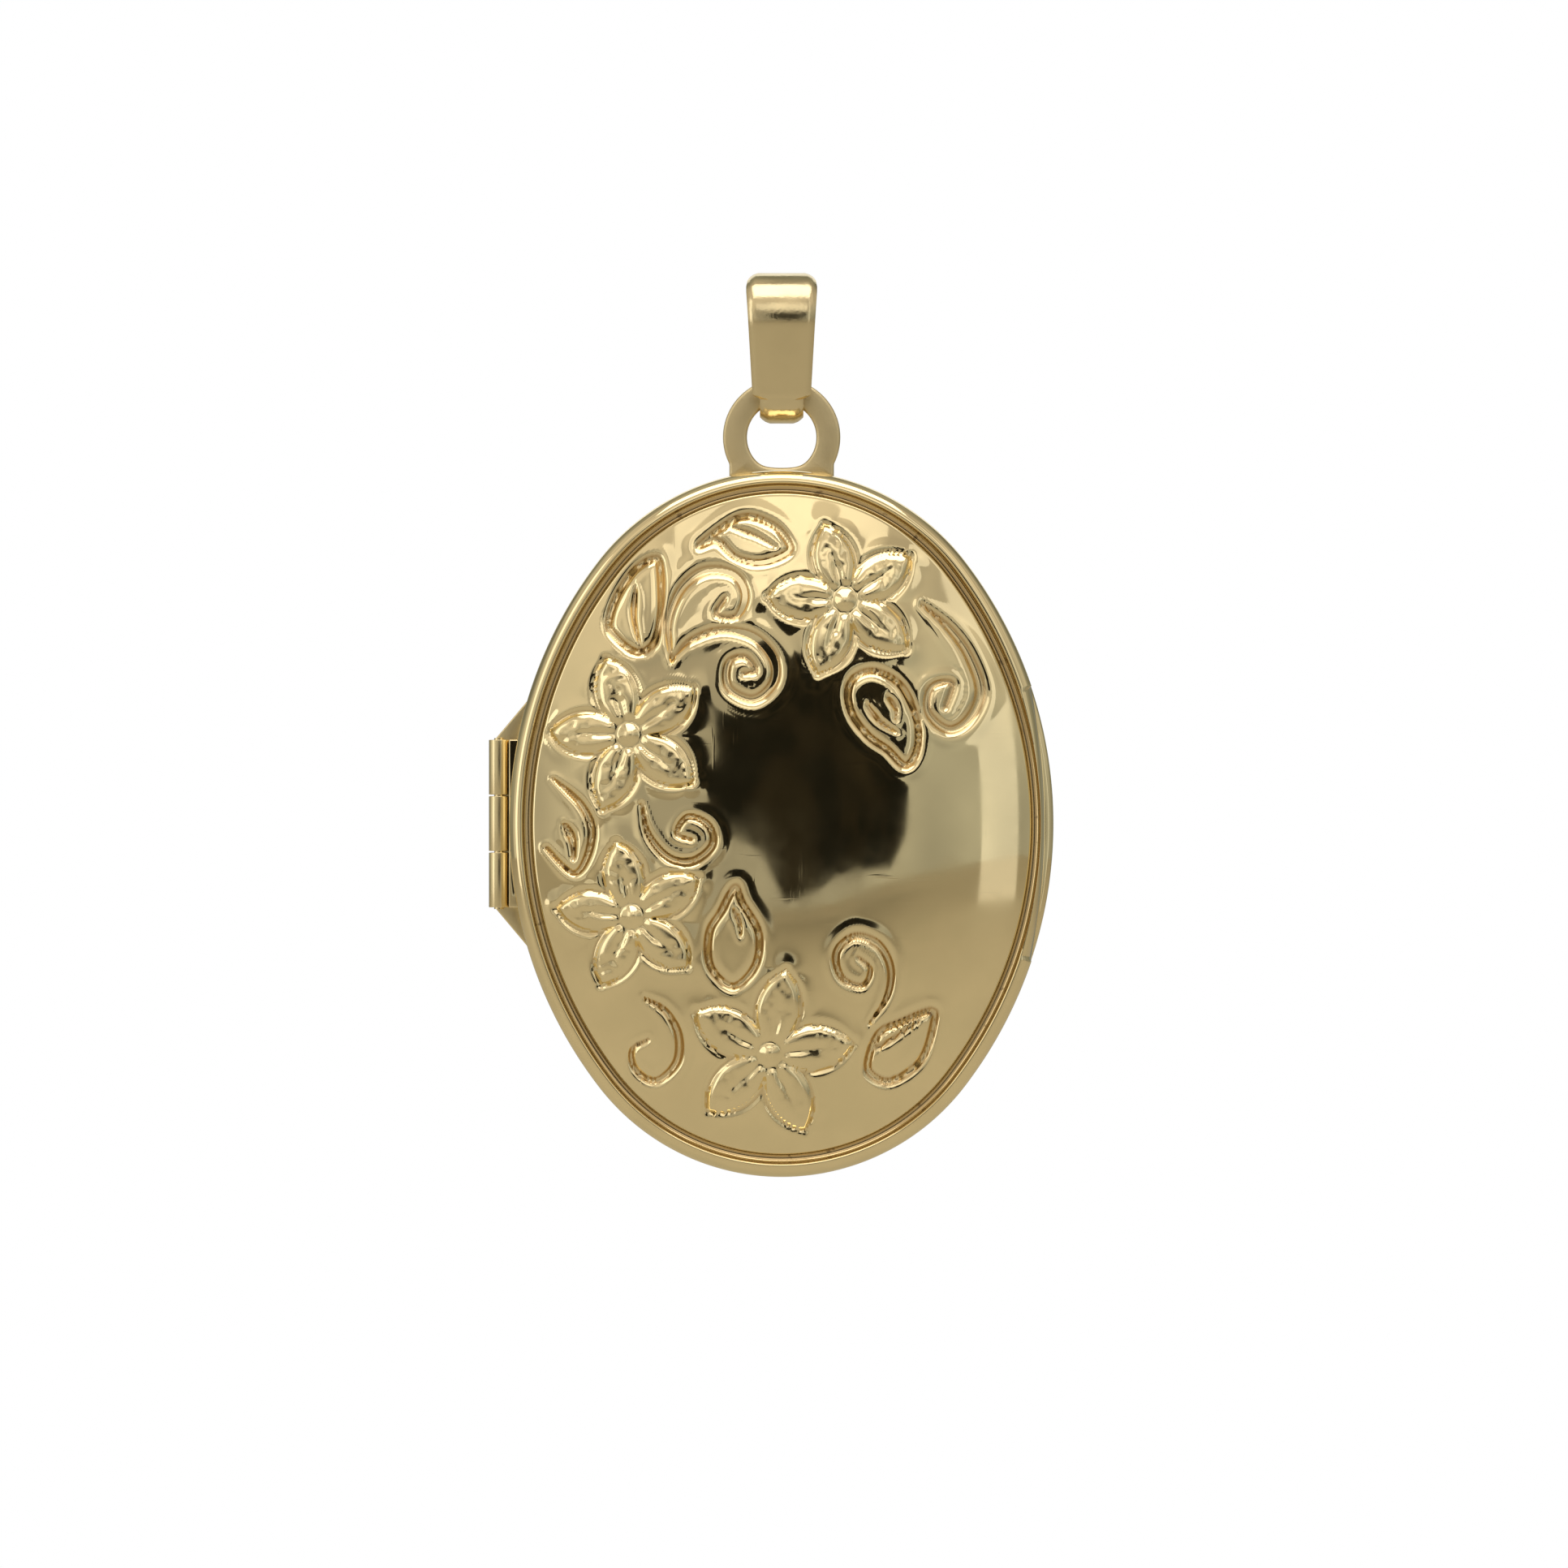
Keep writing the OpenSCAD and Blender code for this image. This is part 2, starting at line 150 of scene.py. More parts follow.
# %% Scrolls, leaves and flowers
SCROLLS = [
    [(-3.73, 5.52), (-3.84, 6.81), (-3.43, 7.92), (-2.63, 8.55), (-1.66, 8.47), (-1.24, 7.78),
     (-1.52, 7.04), (-2.21, 7.09), (-1.93, 7.64)],
    [(-3.73, 5.52), (-3.18, 6.15), (-2.07, 6.57), (-0.97, 6.34), (-0.28, 5.60), (-0.28, 4.77),
     (-0.97, 4.22), (-1.80, 4.63), (-1.80, 5.46), (-1.24, 5.65), (-0.88, 5.18), (-1.30, 5.10)],
    [(4.73, 7.45), (5.64, 6.68), (6.33, 5.74), (6.74, 4.49), (6.33, 3.53), (5.64, 3.19),
     (4.95, 3.80), (5.08, 4.63), (5.78, 4.77), (5.55, 3.94)],
    [(-4.75, 0.71), (-4.53, -0.32), (-3.84, -1.14), (-3.04, -1.28), (-2.35, -0.73),
     (-2.49, -0.04), (-3.18, 0.24), (-3.56, -0.32), (-3.04, -0.54)],
    [(2.96, -6.78), (3.56, -5.90), (3.70, -4.93), (3.29, -4.10), (2.46, -3.82), (1.85, -4.38),
     (2.04, -5.21), (2.74, -5.48), (3.01, -4.93), (2.60, -4.52)],
    [(-4.67, -5.90), (-3.98, -6.31), (-3.51, -7.11), (-3.56, -8.08), (-4.26, -8.72),
     (-4.95, -8.36), (-5.08, -7.67), (-4.53, -7.33)],
    [(-7.76, 1.54), (-6.83, 0.68), (-6.44, -0.20), (-6.63, -1.20), (-7.10, -1.67), (-7.99, -0.81)],
    [(-7.38, 0.02), (-7.10, -0.55), (-7.05, -1.20)],
]

LEAVES = [
    {"edge": [(-2.93, 9.44), (-1.46, 10.49), (-0.30, 10.25), (0.33, 9.60), (0.33, 9.16),
              (-0.64, 8.78), (-1.60, 8.97), (-2.29, 9.58)],
     "veins": [[(-1.74, 10.07), (-0.95, 9.80), (-0.17, 9.36)]]},
    {"edge": [(-4.31, 9.14), (-4.06, 8.86), (-4.01, 7.28), (-4.28, 6.01), (-4.95, 5.68),
              (-5.69, 6.21), (-5.97, 6.76), (-5.64, 7.81), (-5.00, 8.75)],
     "veins": [[(-4.95, 8.06), (-5.02, 7.05), (-4.81, 6.07)]]},
    {"edge": [(3.15, 5.32), (2.40, 5.10), (2.13, 4.50), (2.30, 3.70), (2.90, 2.90), (3.60, 2.40),
              (4.26, 1.81), (4.70, 2.40), (4.70, 3.50), (4.12, 4.77)],
     "veins": [[(2.85, 4.08), (3.30, 3.50), (3.92, 3.08)], [(3.54, 4.35), (3.85, 3.95), (3.87, 3.50)]]},
    {"edge": [(-1.58, -2.00), (-2.10, -2.90), (-2.54, -3.69), (-2.49, -4.93), (-1.66, -5.68),
              (-0.83, -4.93), (-0.69, -3.69), (-1.30, -2.58)],
     "veins": [[(-1.66, -2.86), (-1.45, -3.30), (-1.38, -3.82)]]},
    {"edge": [(5.17, -6.23), (5.28, -6.70), (4.81, -8.08), (3.70, -8.85), (2.95, -8.60),
              (2.82, -8.08), (3.23, -7.06), (4.06, -6.64)],
     "veins": [[(3.15, -7.67), (3.90, -7.20), (4.67, -6.70)]]},
]

# Each flower: the middle, the length of a petal and the turn of its first petal, in degrees.
FLOWERS = [(2.16, 7.59, 2.64, 33.6), (-5.19, 3.03, 2.69, 34.6),
           (-5.08, -3.13, 2.55, 30.1), (-0.41, -7.80, 2.85, 6.9)]
PETALS = 5
print(len(SCROLLS), "scrolls", len(LEAVES), "leaves", len(FLOWERS), "flowers")

# %% [markdown]
# A Catmull-Rom line passes through all of its points, so each stroke needs only the points
# that shape it. The distance from every point of the dome to that line then gives the groove.

# %% A smooth stroke and the distance to it
STROKE_STEPS = 8


def smooth_line(points, closed=False):
    """A Catmull-Rom line through the points."""
    p = [np.array(q, float) for q in points]
    count = len(p)
    line = []
    for i in range(count if closed else count - 1):
        if closed:
            a, b, c, d = (p[(i + k) % count] for k in (-1, 0, 1, 2))
        else:
            a, b, c, d = p[max(i - 1, 0)], p[i], p[i + 1], p[min(i + 2, count - 1)]
        for step in range(STROKE_STEPS):
            t = step / STROKE_STEPS
            line.append(0.5 * (2 * b + (c - a) * t + (2 * a - 5 * b + 4 * c - d) * t**2
                               + (3 * b - a - 3 * c + d) * t**3))
    line.append(p[0] if closed else p[-1])
    return np.array(line)


def distance_to(line, x, y, reach):
    """Distance of each point to the line, and how far along it the nearest place is."""
    low, high = line.min(0) - reach, line.max(0) + reach
    near = np.flatnonzero((x > low[0]) & (x < high[0]) & (y > low[1]) & (y < high[1]))
    best = np.full(len(near), reach * 2)
    along = np.zeros(len(near))
    here = np.stack([x[near], y[near]], 1)
    for i in range(len(line) - 1):
        a, run = line[i], line[i + 1] - line[i]
        t = np.clip(((here - a) @ run) / max(run @ run, 1e-12), 0, 1)
        d = np.hypot(*(here - a - t[:, None] * run).T)
        closer = d < best
        best = np.where(closer, d, best)
        along = np.where(closer, (i + t) / (len(line) - 1), along)
    return near, best, along


# %% [markdown]
# The groove's floor is round, and the metal that the tool pushes aside stands up a little on
# both sides. A stroke starts at a point, swells soon and thins towards its end, like a comma.

# %% Cutting a groove
def swell_of(along):
    """A stroke's width along its length, as a share of its widest."""
    return np.interp(along, [0.0, 0.12, 0.35, 0.65, 1.0], [0.35, 0.75, 1.0, 0.8, 0.5])


def cut_groove(height, x, y, line, half_width, depth, taper=True):
    near, d, along = distance_to(line, x, y, 3 * half_width)
    swell = swell_of(along) if taper else np.ones(len(d))
    w = half_width * swell
    floor = 0.5 + 0.5 * np.cos(math.pi * np.clip(d / w, 0, 1))
    rise = np.exp(-(((d - 1.5 * w) / (0.7 * w)) ** 2))
    height[near] += -depth * swell**0.7 * floor + 0.10 * depth * rise


# %% [markdown]
# A leaf is a closed groove round a slightly pillowed middle, with one or two veins cut into
# it. The lip beside the groove makes a leaf look larger, so its outline is drawn in a little.

# %% Raising a leaf
LEAF_SIZE = 0.92
LEAF_CUT = (0.22, 0.15)
VEIN_CUT = (0.18, 0.14)
LEAF_REACH = 0.9
LEAF_PUFF = 0.6
LEAF_RISE = 0.06
LEAF_SINK = 0.05


def inside_line(line, x, y):
    """Which points lie inside a closed line."""
    inside = np.zeros(len(x), bool)
    for (x0, y0), (x1, y1) in zip(line[:-1], line[1:]):
        crosses = (y0 > y) != (y1 > y)
        if y1 != y0:
            inside ^= crosses & (x < x0 + (y - y0) * (x1 - x0) / (y1 - y0))
    return inside


def raise_leaf(height, x, y, leaf):
    edge = smooth_line(leaf["edge"], closed=True)
    middle = edge[:-1].mean(axis=0)
    edge = middle + LEAF_SIZE * (edge - middle)
    near, d, _ = distance_to(edge, x, y, LEAF_REACH)
    inside = inside_line(edge, x[near], y[near])
    puff = np.where(inside, np.clip(d / LEAF_PUFF, 0, 1), 0)
    height[near] += LEAF_RISE * puff * (2 - puff) - LEAF_SINK * inside
    cut_groove(height, x, y, edge, *LEAF_CUT, taper=False)
    for vein in leaf["veins"]:
        cut_groove(height, x, y, smooth_line(vein), *VEIN_CUT)


# %% [markdown]
# A petal is drawn in its own measure: u runs from the middle of the flower to the tip, and v
# across. Its half width grows and then closes to a point. Three creases run out from the bead,
# and the outer part carries small punched dots, set down by chance but always the same.

# %% A petal
PETAL_HALF_WIDTH = 0.265
PETAL_WIDEST = 0.53
CREASE_WIDTH = 0.10
SIDE_CREASE_WIDTH = 0.07
SIDE_SLANT = 0.14
DOTS = 16
DOT_AREA = 0.009
FAR = 9.0
dots_random = np.random.default_rng(7)


def petal_width(u):
    shape = np.clip(u, 0, 1) ** 0.9 * np.clip(1 - u, 0, 1) ** 0.8
    return PETAL_HALF_WIDTH * shape / (PETAL_WIDEST**0.9 * (1 - PETAL_WIDEST) ** 0.8)


def petal(u, v, length):
    """How far each point is past the petal's edge, and how much crease and dot is there."""
    past = np.clip(u - 1, 0, None)
    gap = np.hypot(np.clip(np.abs(v) - petal_width(u), 0, None), past)
    inner = np.clip(petal_width(u) - np.abs(v), 0, None) * 0.85
    gap = np.where(u > 0.05, np.where(gap > 0, gap * 0.9, -inner), FAR) * length
    line = np.exp(-((v * length / CREASE_WIDTH) ** 2)) * np.clip((u - 0.15) / 0.05, 0, 1)
    crease = line * np.clip((0.75 - u) / 0.35, 0, 1)
    for slant in (-SIDE_SLANT, SIDE_SLANT):
        side = np.exp(-(((v - slant * (u - 0.1)) * length / SIDE_CREASE_WIDTH) ** 2))
        crease += 0.6 * side * np.clip((u - 0.2) / 0.05, 0, 1) * np.clip((0.5 - u) / 0.15, 0, 1)
    dots = np.zeros(len(u))
    for _ in range(DOTS):
        dot_u = dots_random.uniform(0.42, 0.88)
        dot_v = dots_random.uniform(-0.75, 0.75) * max(petal_width(np.array(dot_u)) - 0.05, 0)
        dots += np.exp(-((u - dot_u) ** 2 + (v - dot_v) ** 2) * length**2 / DOT_AREA)
    return gap, crease, dots


print("dots on a petal", DOTS)

# %% [markdown]
# Five petals stand round a bead. Each is pillowed and has a groove along its edge, and the
# ground round the flower is drawn up a little, as it is when the sheet is pressed from behind.

# %% Raising a flower
BEAD_R = 0.50
BEAD_RISE = 0.26
PILLOW_RISE = 0.13
PILLOW_WIDTH = 0.42
GROUND_RISE = 0.05
GROUND_REACH = 0.40
OUTLINE_DEPTH = 0.11
OUTLINE_WIDTH = 0.10
OUTLINE_OUT = 0.03
DOT_DEPTH = 0.03
CREASE_DEPTH = 0.12


def raise_flower(height, x, y, flower):
    cx, cy, length, turn = flower
    near = np.flatnonzero(np.hypot(x - cx, y - cy) < length + 1.2)
    dx, dy = x[near] - cx, y[near] - cy
    r = np.hypot(dx, dy)
    edge = np.full(len(near), FAR)
    crease = np.zeros(len(near))
    dots = np.zeros(len(near))
    for number in range(PETALS):
        angle = math.radians(turn + 360 / PETALS * number)
        u = (dx * math.cos(angle) + dy * math.sin(angle)) / length
        v = (-dx * math.sin(angle) + dy * math.cos(angle)) / length
        gap, more_crease, more_dots = petal(u, v, length)
        edge = np.minimum(edge, gap)
        crease += more_crease
        dots += more_dots
    rise = GROUND_RISE * np.exp(-((np.clip(edge, 0, None) / GROUND_REACH) ** 2))
    pillow = np.clip(-edge / PILLOW_WIDTH, 0, 1)
    rise += PILLOW_RISE * pillow * (2 - pillow)
    rise -= OUTLINE_DEPTH * np.exp(-(((edge - OUTLINE_OUT) / OUTLINE_WIDTH) ** 2))
    within = np.clip(-edge / 0.12, 0, 1)
    rise -= within * (DOT_DEPTH * np.clip(dots, 0, 1.3) + CREASE_DEPTH * np.clip(crease, 0, 1))
    rise *= np.clip((r - 0.42) / 0.25, 0, 1)
    bead = 0.5 + 0.5 * np.cos(math.pi * np.clip(r / BEAD_R, 0, 1))
    height[near] += rise + BEAD_RISE * bead


# %% [markdown]
# The whole ornament is the sum of its strokes. The first three scrolls were cut with a broader
# tool than the others.

# %% The ornament's height
STROKE = 0.24
WIDE_STROKE = 0.32
WIDE_SCROLLS = (0, 1, 2)
SCROLL_DEPTH = 0.19


def engraving(x, y):
    height = np.zeros(len(x))
    for leaf in LEAVES:
        raise_leaf(height, x, y, leaf)
    for flower in FLOWERS:
        raise_flower(height, x, y, flower)
    for number, points in enumerate(SCROLLS):
        half_width = WIDE_STROKE if number in WIDE_SCROLLS else STROKE
        cut_groove(height, x, y, smooth_line(points), half_width, SCROLL_DEPTH)
    return height


print("strokes in the ornament", len(SCROLLS) + sum(1 + len(leaf["veins"]) for leaf in LEAVES))

# %% [markdown]
# ## The two half cases
# Each half is one stamped sheet, so each is one closed mesh. The dome is a square grid of
# points bent into the oval, which has no pole where a mirror finish would pinch. Outside the
# dome the mesh goes on in rings, one for each step of the rim's section, over the bead, down
# the wall and back along the inside. The steps are (inset, height) in millimetres.

# %% The section of a stamped half
RIM_WALL = 0.55
DOME_INSET = 0.80
SHEET = 0.28
SEAM = 0.01
LEDGE = 1.00
RIM_TOP = 1.60
DOME_EDGE = 1.38
DOME_POWER = 2.6
LEVEL_R = 0.6
UNDER_STEPS = 7
CHANNEL = (0.52, 0.765)
# The rim's channel gets this value, which paints a brown shade into it.
CHANNEL_SHADE = -0.09
OUTSIDE = [(0.785, 1.365), (0.77, 1.33), (0.74, 1.295), (0.69, 1.275), (0.63, 1.275), (0.57, 1.295),
           (0.515, 1.34), (0.48, 1.41), (0.46, 1.50), (0.44, 1.565), (0.41, 1.597), (0.375, 1.60),
           (0.30, 1.575), (0.235, 1.54), (0.19, 1.505), (0.12, 1.42), (0.05, 1.30), (0.01, 1.20),
           (0.0, 1.10), (0.0, 0.20)]
COVER_EDGE = [(0.0, 0.06), (0.03, SEAM)]
BACK_EDGE = [(0.06, 0.08), (0.17, SEAM)]
INSIDE = [(0.50, SEAM), (RIM_WALL, 0.05), (RIM_WALL, LEDGE - 0.02), (RIM_WALL + 0.02, LEDGE),
          (DOME_INSET + SHEET, LEDGE)]


def dome_height(out):
    """Height by how far out a point is, from 0 in the middle to 1 at the dome's edge."""
    return DOME_EDGE + (dome_top - DOME_EDGE) * (1 - np.clip(out, 0, 1) ** DOME_POWER)


def section_steps(edge):
    """Inset, height and whether the nail relief cuts it, from the dome's edge out and back in."""
    steps = [(inset, height, True) for inset, height in OUTSIDE + edge]
    steps += [(inset, height, False) for inset, height in INSIDE]
    under = np.linspace(DOME_INSET + SHEET, end_r - LEVEL_R, UNDER_STEPS)
    out = 1 - (under - DOME_INSET) / (half_w - DOME_INSET)
    return steps + [(i, float(h) - SHEET, False) for i, h in zip(under, dome_height(out))]


print("steps in the section", len(section_steps(COVER_EDGE)))

# %% [markdown]
# Opposite the hinge a crescent is cut out of the cover's rim, so that a fingernail finds the
# edge of the back half. The crescent is part of a large circle with a small step at each end.

# %% The nail relief
RELIEF_HALF = 4.65
RELIEF_DEPTH = 0.36
RELIEF_STEP = 0.12
RELIEF_SLOPE = 0.10
BEAD_INNER = 0.47


def relief_cut(x, y):
    """How far the cover's outline is cut back at each ring point."""
    side_x = math.sqrt(side_r**2 - RELIEF_HALF**2) - side_c
    rise = (half_w - RELIEF_DEPTH) - (side_x - RELIEF_STEP)
    radius = (RELIEF_HALF**2 + rise**2) / (2 * rise)
    reach = np.clip(y, -RELIEF_HALF, RELIEF_HALF)
    edge = half_w - RELIEF_DEPTH - radius + np.sqrt(radius**2 - reach**2)
    outline = np.sqrt(side_r**2 - reach**2) - side_c
    return np.where((x > 0) & (np.abs(y) < RELIEF_HALF), outline - edge, 0)


def rim_ring(ring_turn, inset, height, cut):
    """One ring of the rim. A cut pushes it in, less and less towards the bead's inner side."""
    insets = np.full(len(ring_turn), inset)
    if cut and inset < BEAD_INNER:
        back = cut(*oval_at(ring_turn, 0.0))
        slope = RELIEF_SLOPE * np.clip(1 - height / RIM_TOP, 0, 1)
        back = np.maximum(back - slope * (back > 0), 0)
        insets = back + insets * (BEAD_INNER - back) / BEAD_INNER
    x, y = oval_at(ring_turn, insets)
    return np.stack([x, y, np.full(len(x), height)], 1)


print("deepest cut of the relief", round(float(relief_cut(np.array([half_w]), np.zeros(1))[0]), 2))

# %% [markdown]
# The grid is square in its own measure. Each of its squares-within-squares becomes one oval
# ring, so the cells stay even from the middle to the edge, where the rim's rings take over.

# %% A square grid bent into a disc
def square_to_disc(count):
    """Grid points on a square, bent into a disc: their distance out and their quarter turns."""
    line = np.linspace(-1, 1, count + 1)
    v, u = np.meshgrid(line, line, indexing="ij")
    u, v = u.ravel(), v.ravel()
    wide = np.abs(u) >= np.abs(v)
    safe_u = np.where(u == 0, 1, u)
    safe_v = np.where(v == 0, 1, v)
    r = np.where(wide, u, v)
    angle = np.where(wide, math.pi / 4 * v / safe_u, math.pi / 2 - math.pi / 4 * u / safe_v)
    px, py = r * np.cos(angle), r * np.sin(angle)
    return np.hypot(px, py), (np.arctan2(py, px) / (math.pi / 2)) % 4


def grid_cells(count):
    """The grid's faces, four corners each."""
    rows, cols = np.meshgrid(np.arange(count), np.arange(count), indexing="ij")
    first = (rows * (count + 1) + cols).ravel()
    return np.stack([first, first + 1, first + count + 2, first + count + 1], 1)


def grid_rim(count):
    """The grid's outer points in order, anticlockwise from its lower right corner."""
    n = count + 1
    right = [i * n + count for i in range(count)]
    top = [count * n + count - i for i in range(count)]
    left = [(count - i) * n for i in range(count)]
    bottom = list(range(count))
    return np.array(right + top + left + bottom)


# %% [markdown]
# The mesh also keeps the ornament's height at every point, under the name relief, and a painted
# shade value in the rim's channel. The finish reads it later, to paint a brown shade into the
# cuts and the channel and to leave the raised metal less bright than the dome.

# %% A half case as one closed mesh
PLAIN_EDGE = 0.05
PLAIN_FADE = 0.25


def half_case(name, count, edge, cut=None, ornament=None):
    """Lying on its opening: x across, y along, z towards the dome's top. Millimetres."""
    out, turn = square_to_disc(count)
    edge_x, edge_y = oval_at(turn, DOME_INSET)
    x, y = edge_x * out, edge_y * out
    relief = ornament(x, y) if ornament else np.zeros(len(x))
    relief *= np.clip((inset_of(x, y) - DOME_INSET - PLAIN_EDGE) / PLAIN_FADE, 0, 1)
    points = [np.stack([x, y, dome_height(out) + relief], 1)]
    tones = [relief]
    faces = [grid_cells(count)]
    ring = grid_rim(count)
    ring_turn = turn[ring]
    total = len(x)
    for inset, height, outside in section_steps(edge):
        points.append(rim_ring(ring_turn, inset, height, cut if outside else None))
        # The rim's channel carries the painted shade value.
        in_channel = outside and CHANNEL[0] < inset < CHANNEL[1]
        tones.append(np.full(len(ring), CHANNEL_SHADE if in_channel else 0.0))
        following = np.arange(total, total + len(ring))
        faces.append(np.stack([ring, following, np.roll(following, -1), np.roll(ring, -1)], 1))
        ring, total = following, total + len(ring)
    mesh = bpy.data.meshes.new(name)
    quads = np.concatenate(faces).tolist()
    mesh.from_pydata(np.concatenate(points).tolist(), [], quads + [ring[::-1].tolist()])
    mesh.polygons.foreach_set("use_smooth", [True] * len(mesh.polygons))
    tone = mesh.attributes.new("relief", "FLOAT", "POINT")
    tone.data.foreach_set("value", np.concatenate(tones).astype(np.float32))
    mesh.update()
    mesh.set_sharp_from_angle(angle=math.radians(50))
    return mesh


# %% [markdown]
# ## Finishes
# Yellow gold is a metal with a warm colour of its own. Three things keep it from looking like
# plastic foil: its roughness varies a little from place to place, it carries fine hairlines
# from wear, and a brown shade is painted into its cuts. Each finish is a small tree of nodes,
# and these short functions set the nodes down and join them.

# %% Setting nodes down
def feed(tree, node, inputs):
    """Joins each named input to another node's output, or sets it to a plain value."""
    for key, value in inputs.items():
        if isinstance(value, bpy.types.NodeSocket):
            tree.links.new(value, node.inputs[key])
        else:
            node.inputs[key].default_value = value


def new_node(tree, kind, inputs=None, **settings):
    node = tree.nodes.new(kind)
    for key, value in settings.items():
        setattr(node, key, value)
    feed(tree, node, inputs or {})
    return node


def new_material(name):
    material = bpy.data.materials.new(name)
    material.use_nodes = True
    tree = material.node_tree
    return material, tree, tree.nodes["Principled BSDF"]


# %% [markdown]
# Wear, grain and dirt are all noise of some scale, read at the place of each point on the
# piece itself, so they sit still on the metal when a piece moves. A noise is then given its
# range, mixed with another or turned into a bump.

# %% Noise, ranges and mixes
def noise(tree, scale, detail=3.0, stretch=(1, 1, 1), turn=(0, 0, 0)):
    """Noise in object space, stretched along an axis if asked."""
    place = new_node(tree, "ShaderNodeTexCoord").outputs["Object"]
    mapping = new_node(tree, "ShaderNodeMapping",
                       {"Vector": place, "Scale": stretch, "Rotation": turn})
    return new_node(tree, "ShaderNodeTexNoise",
                    {"Vector": mapping.outputs["Vector"], "Scale": scale,
                     "Detail": detail}).outputs["Fac"]


def map_range(tree, value, low, high, to_low, to_high):
    return new_node(tree, "ShaderNodeMapRange",
                    {"Value": value, "From Min": low, "From Max": high,
                     "To Min": to_low, "To Max": to_high}).outputs["Result"]


def mix_colour(tree, factor, first, second):
    """Two colours mixed. The node's colour inputs are its seventh and eighth."""
    return new_node(tree, "ShaderNodeMix", {"Factor": factor, 6: first, 7: second},
                    data_type="RGBA").outputs[2]


def maths(tree, operation, first, second):
    return new_node(tree, "ShaderNodeMath", {0: first, 1: second}, operation=operation).outputs[0]


def bumped(tree, height, strength, distance):
    return new_node(tree, "ShaderNodeBump", {"Height": height, "Strength": strength,
                                             "Distance": distance}).outputs["Normal"]


# %% [markdown]
# Where a mesh carries the relief value, its cuts get a painted brown shade on their walls, with
# specks of old dirt, and what stands up or was left matt is rougher. Hairlines run two ways, as
# they do on a piece that has been worn for years, and a satin gold has a fine grain as well.

# %% Painted shade and wear on gold
# The brown of the painted shade in the cuts and the rim's channel.
PAINTED_SHADE_BROWN = (0.52, 0.33, 0.14, 1.0)
DIRT = (0.10, 0.05, 0.02, 1.0)
LINE_SCALE = 420.0
GRAIN_SCALE = 9000.0
SPECK_SCALE = 2600.0


def shade_and_wear(tree, surface, roughness):
    """Paints a brown shade into the cuts, specks them with dirt and dulls the worked metal, by the
    mesh's relief value.
    """
    relief = new_node(tree, "ShaderNodeAttribute", attribute_name="relief").outputs["Fac"]
    depth = map_range(tree, relief, -0.02, -0.12, 0, 1)
    shade_fade = map_range(tree, relief, -0.10, -0.14, 0.92, 0.25)
    # Painted shade: brown mixed into the cuts and the rim's channel by how deep they lie.
    surface = mix_colour(tree, maths(tree, "MULTIPLY", depth, shade_fade), surface, PAINTED_SHADE_BROWN)
    speck = map_range(tree, noise(tree, SPECK_SCALE, 2.0), 0.66, 0.72, 0, 0.8)
    surface = mix_colour(tree, maths(tree, "MULTIPLY", speck, depth), surface, DIRT)
    worked = map_range(tree, relief, 0.08, 0.30, 0, 0.30)
    roughness = maths(tree, "ADD", roughness, worked)
    return surface, maths(tree, "ADD", roughness, maths(tree, "MULTIPLY", depth, 0.16))


def hairlines(tree, grain):
    """The height of fine wear lines, and of an even grain if there is one."""
    along = noise(tree, LINE_SCALE, 2.0, stretch=(1, 1, 12), turn=(0, 0.5, 0))
    across = noise(tree, LINE_SCALE, 2.0, stretch=(12, 1, 1), turn=(0, 0.3, 0))
    total = maths(tree, "ADD", map_range(tree, along, 0.66, 0.80, 0, 1),
                  map_range(tree, across, 0.66, 0.80, 0, 1))
    if grain:
        fine = map_range(tree, noise(tree, GRAIN_SCALE, 2.0), 0.3, 0.7, 0, grain)
        total = maths(tree, "ADD", total, fine)
    return total


# %% [markdown]
# Three golds are enough: polished for the case and the hinge, satin for the loop and the bail,
# and a duller one for what is inside and is never rubbed up again.

# %% The gold finishes
GOLD = (0.93, 0.78, 0.47, 1.0)
SATIN = (0.80, 0.67, 0.41, 1.0)
TONE_DROP = 0.94
HAIRLINE_DEPTH = 0.004 * MM


def gold(name, colour, rough_low, rough_high, hairline, grain=0.0, cuts=False):
    material, tree, shader = new_material(name)
    shade = tuple(c * TONE_DROP for c in colour[:3]) + (1.0,)
    cloud = map_range(tree, noise(tree, 450.0, 4.0), 0.35, 0.65, 0, 1)
    surface = mix_colour(tree, cloud, colour, shade)
    roughness = map_range(tree, noise(tree, 900.0, 5.0), 0.35, 0.7, rough_low, rough_high)
    if cuts:
        surface, roughness = shade_and_wear(tree, surface, roughness)
    normal = bumped(tree, hairlines(tree, grain), hairline, HAIRLINE_DEPTH)
    feed(tree, shader, {"Metallic": 1.0, "Base Color": surface, "Roughness": roughness,
                        "Normal": normal})
    return material


polished_gold = gold("polished gold", GOLD, 0.04, 0.09, 0.15, cuts=True)
satin_gold = gold("satin gold", SATIN, 0.15, 0.24, 0.4, grain=1.0, cuts=True)
inner_gold = gold("inner gold", GOLD, 0.14, 0.24, 0.2)
print("finishes", [m.name for m in (polished_gold, satin_gold, inner_gold)])

# %% [markdown]
# A piece that is ready joins the working model: it says which of the model's nodes it stands
# for, which finish it takes and which body it rides on. The volume is printed,
# because a negative one would mean that the faces point inwards.

# %% Adding a piece
def volume_of(mesh):
    shape = bmesh.new()
    shape.from_mesh(mesh)
    size = shape.calc_volume(signed=True) / MM**3
    shape.free()
    return size


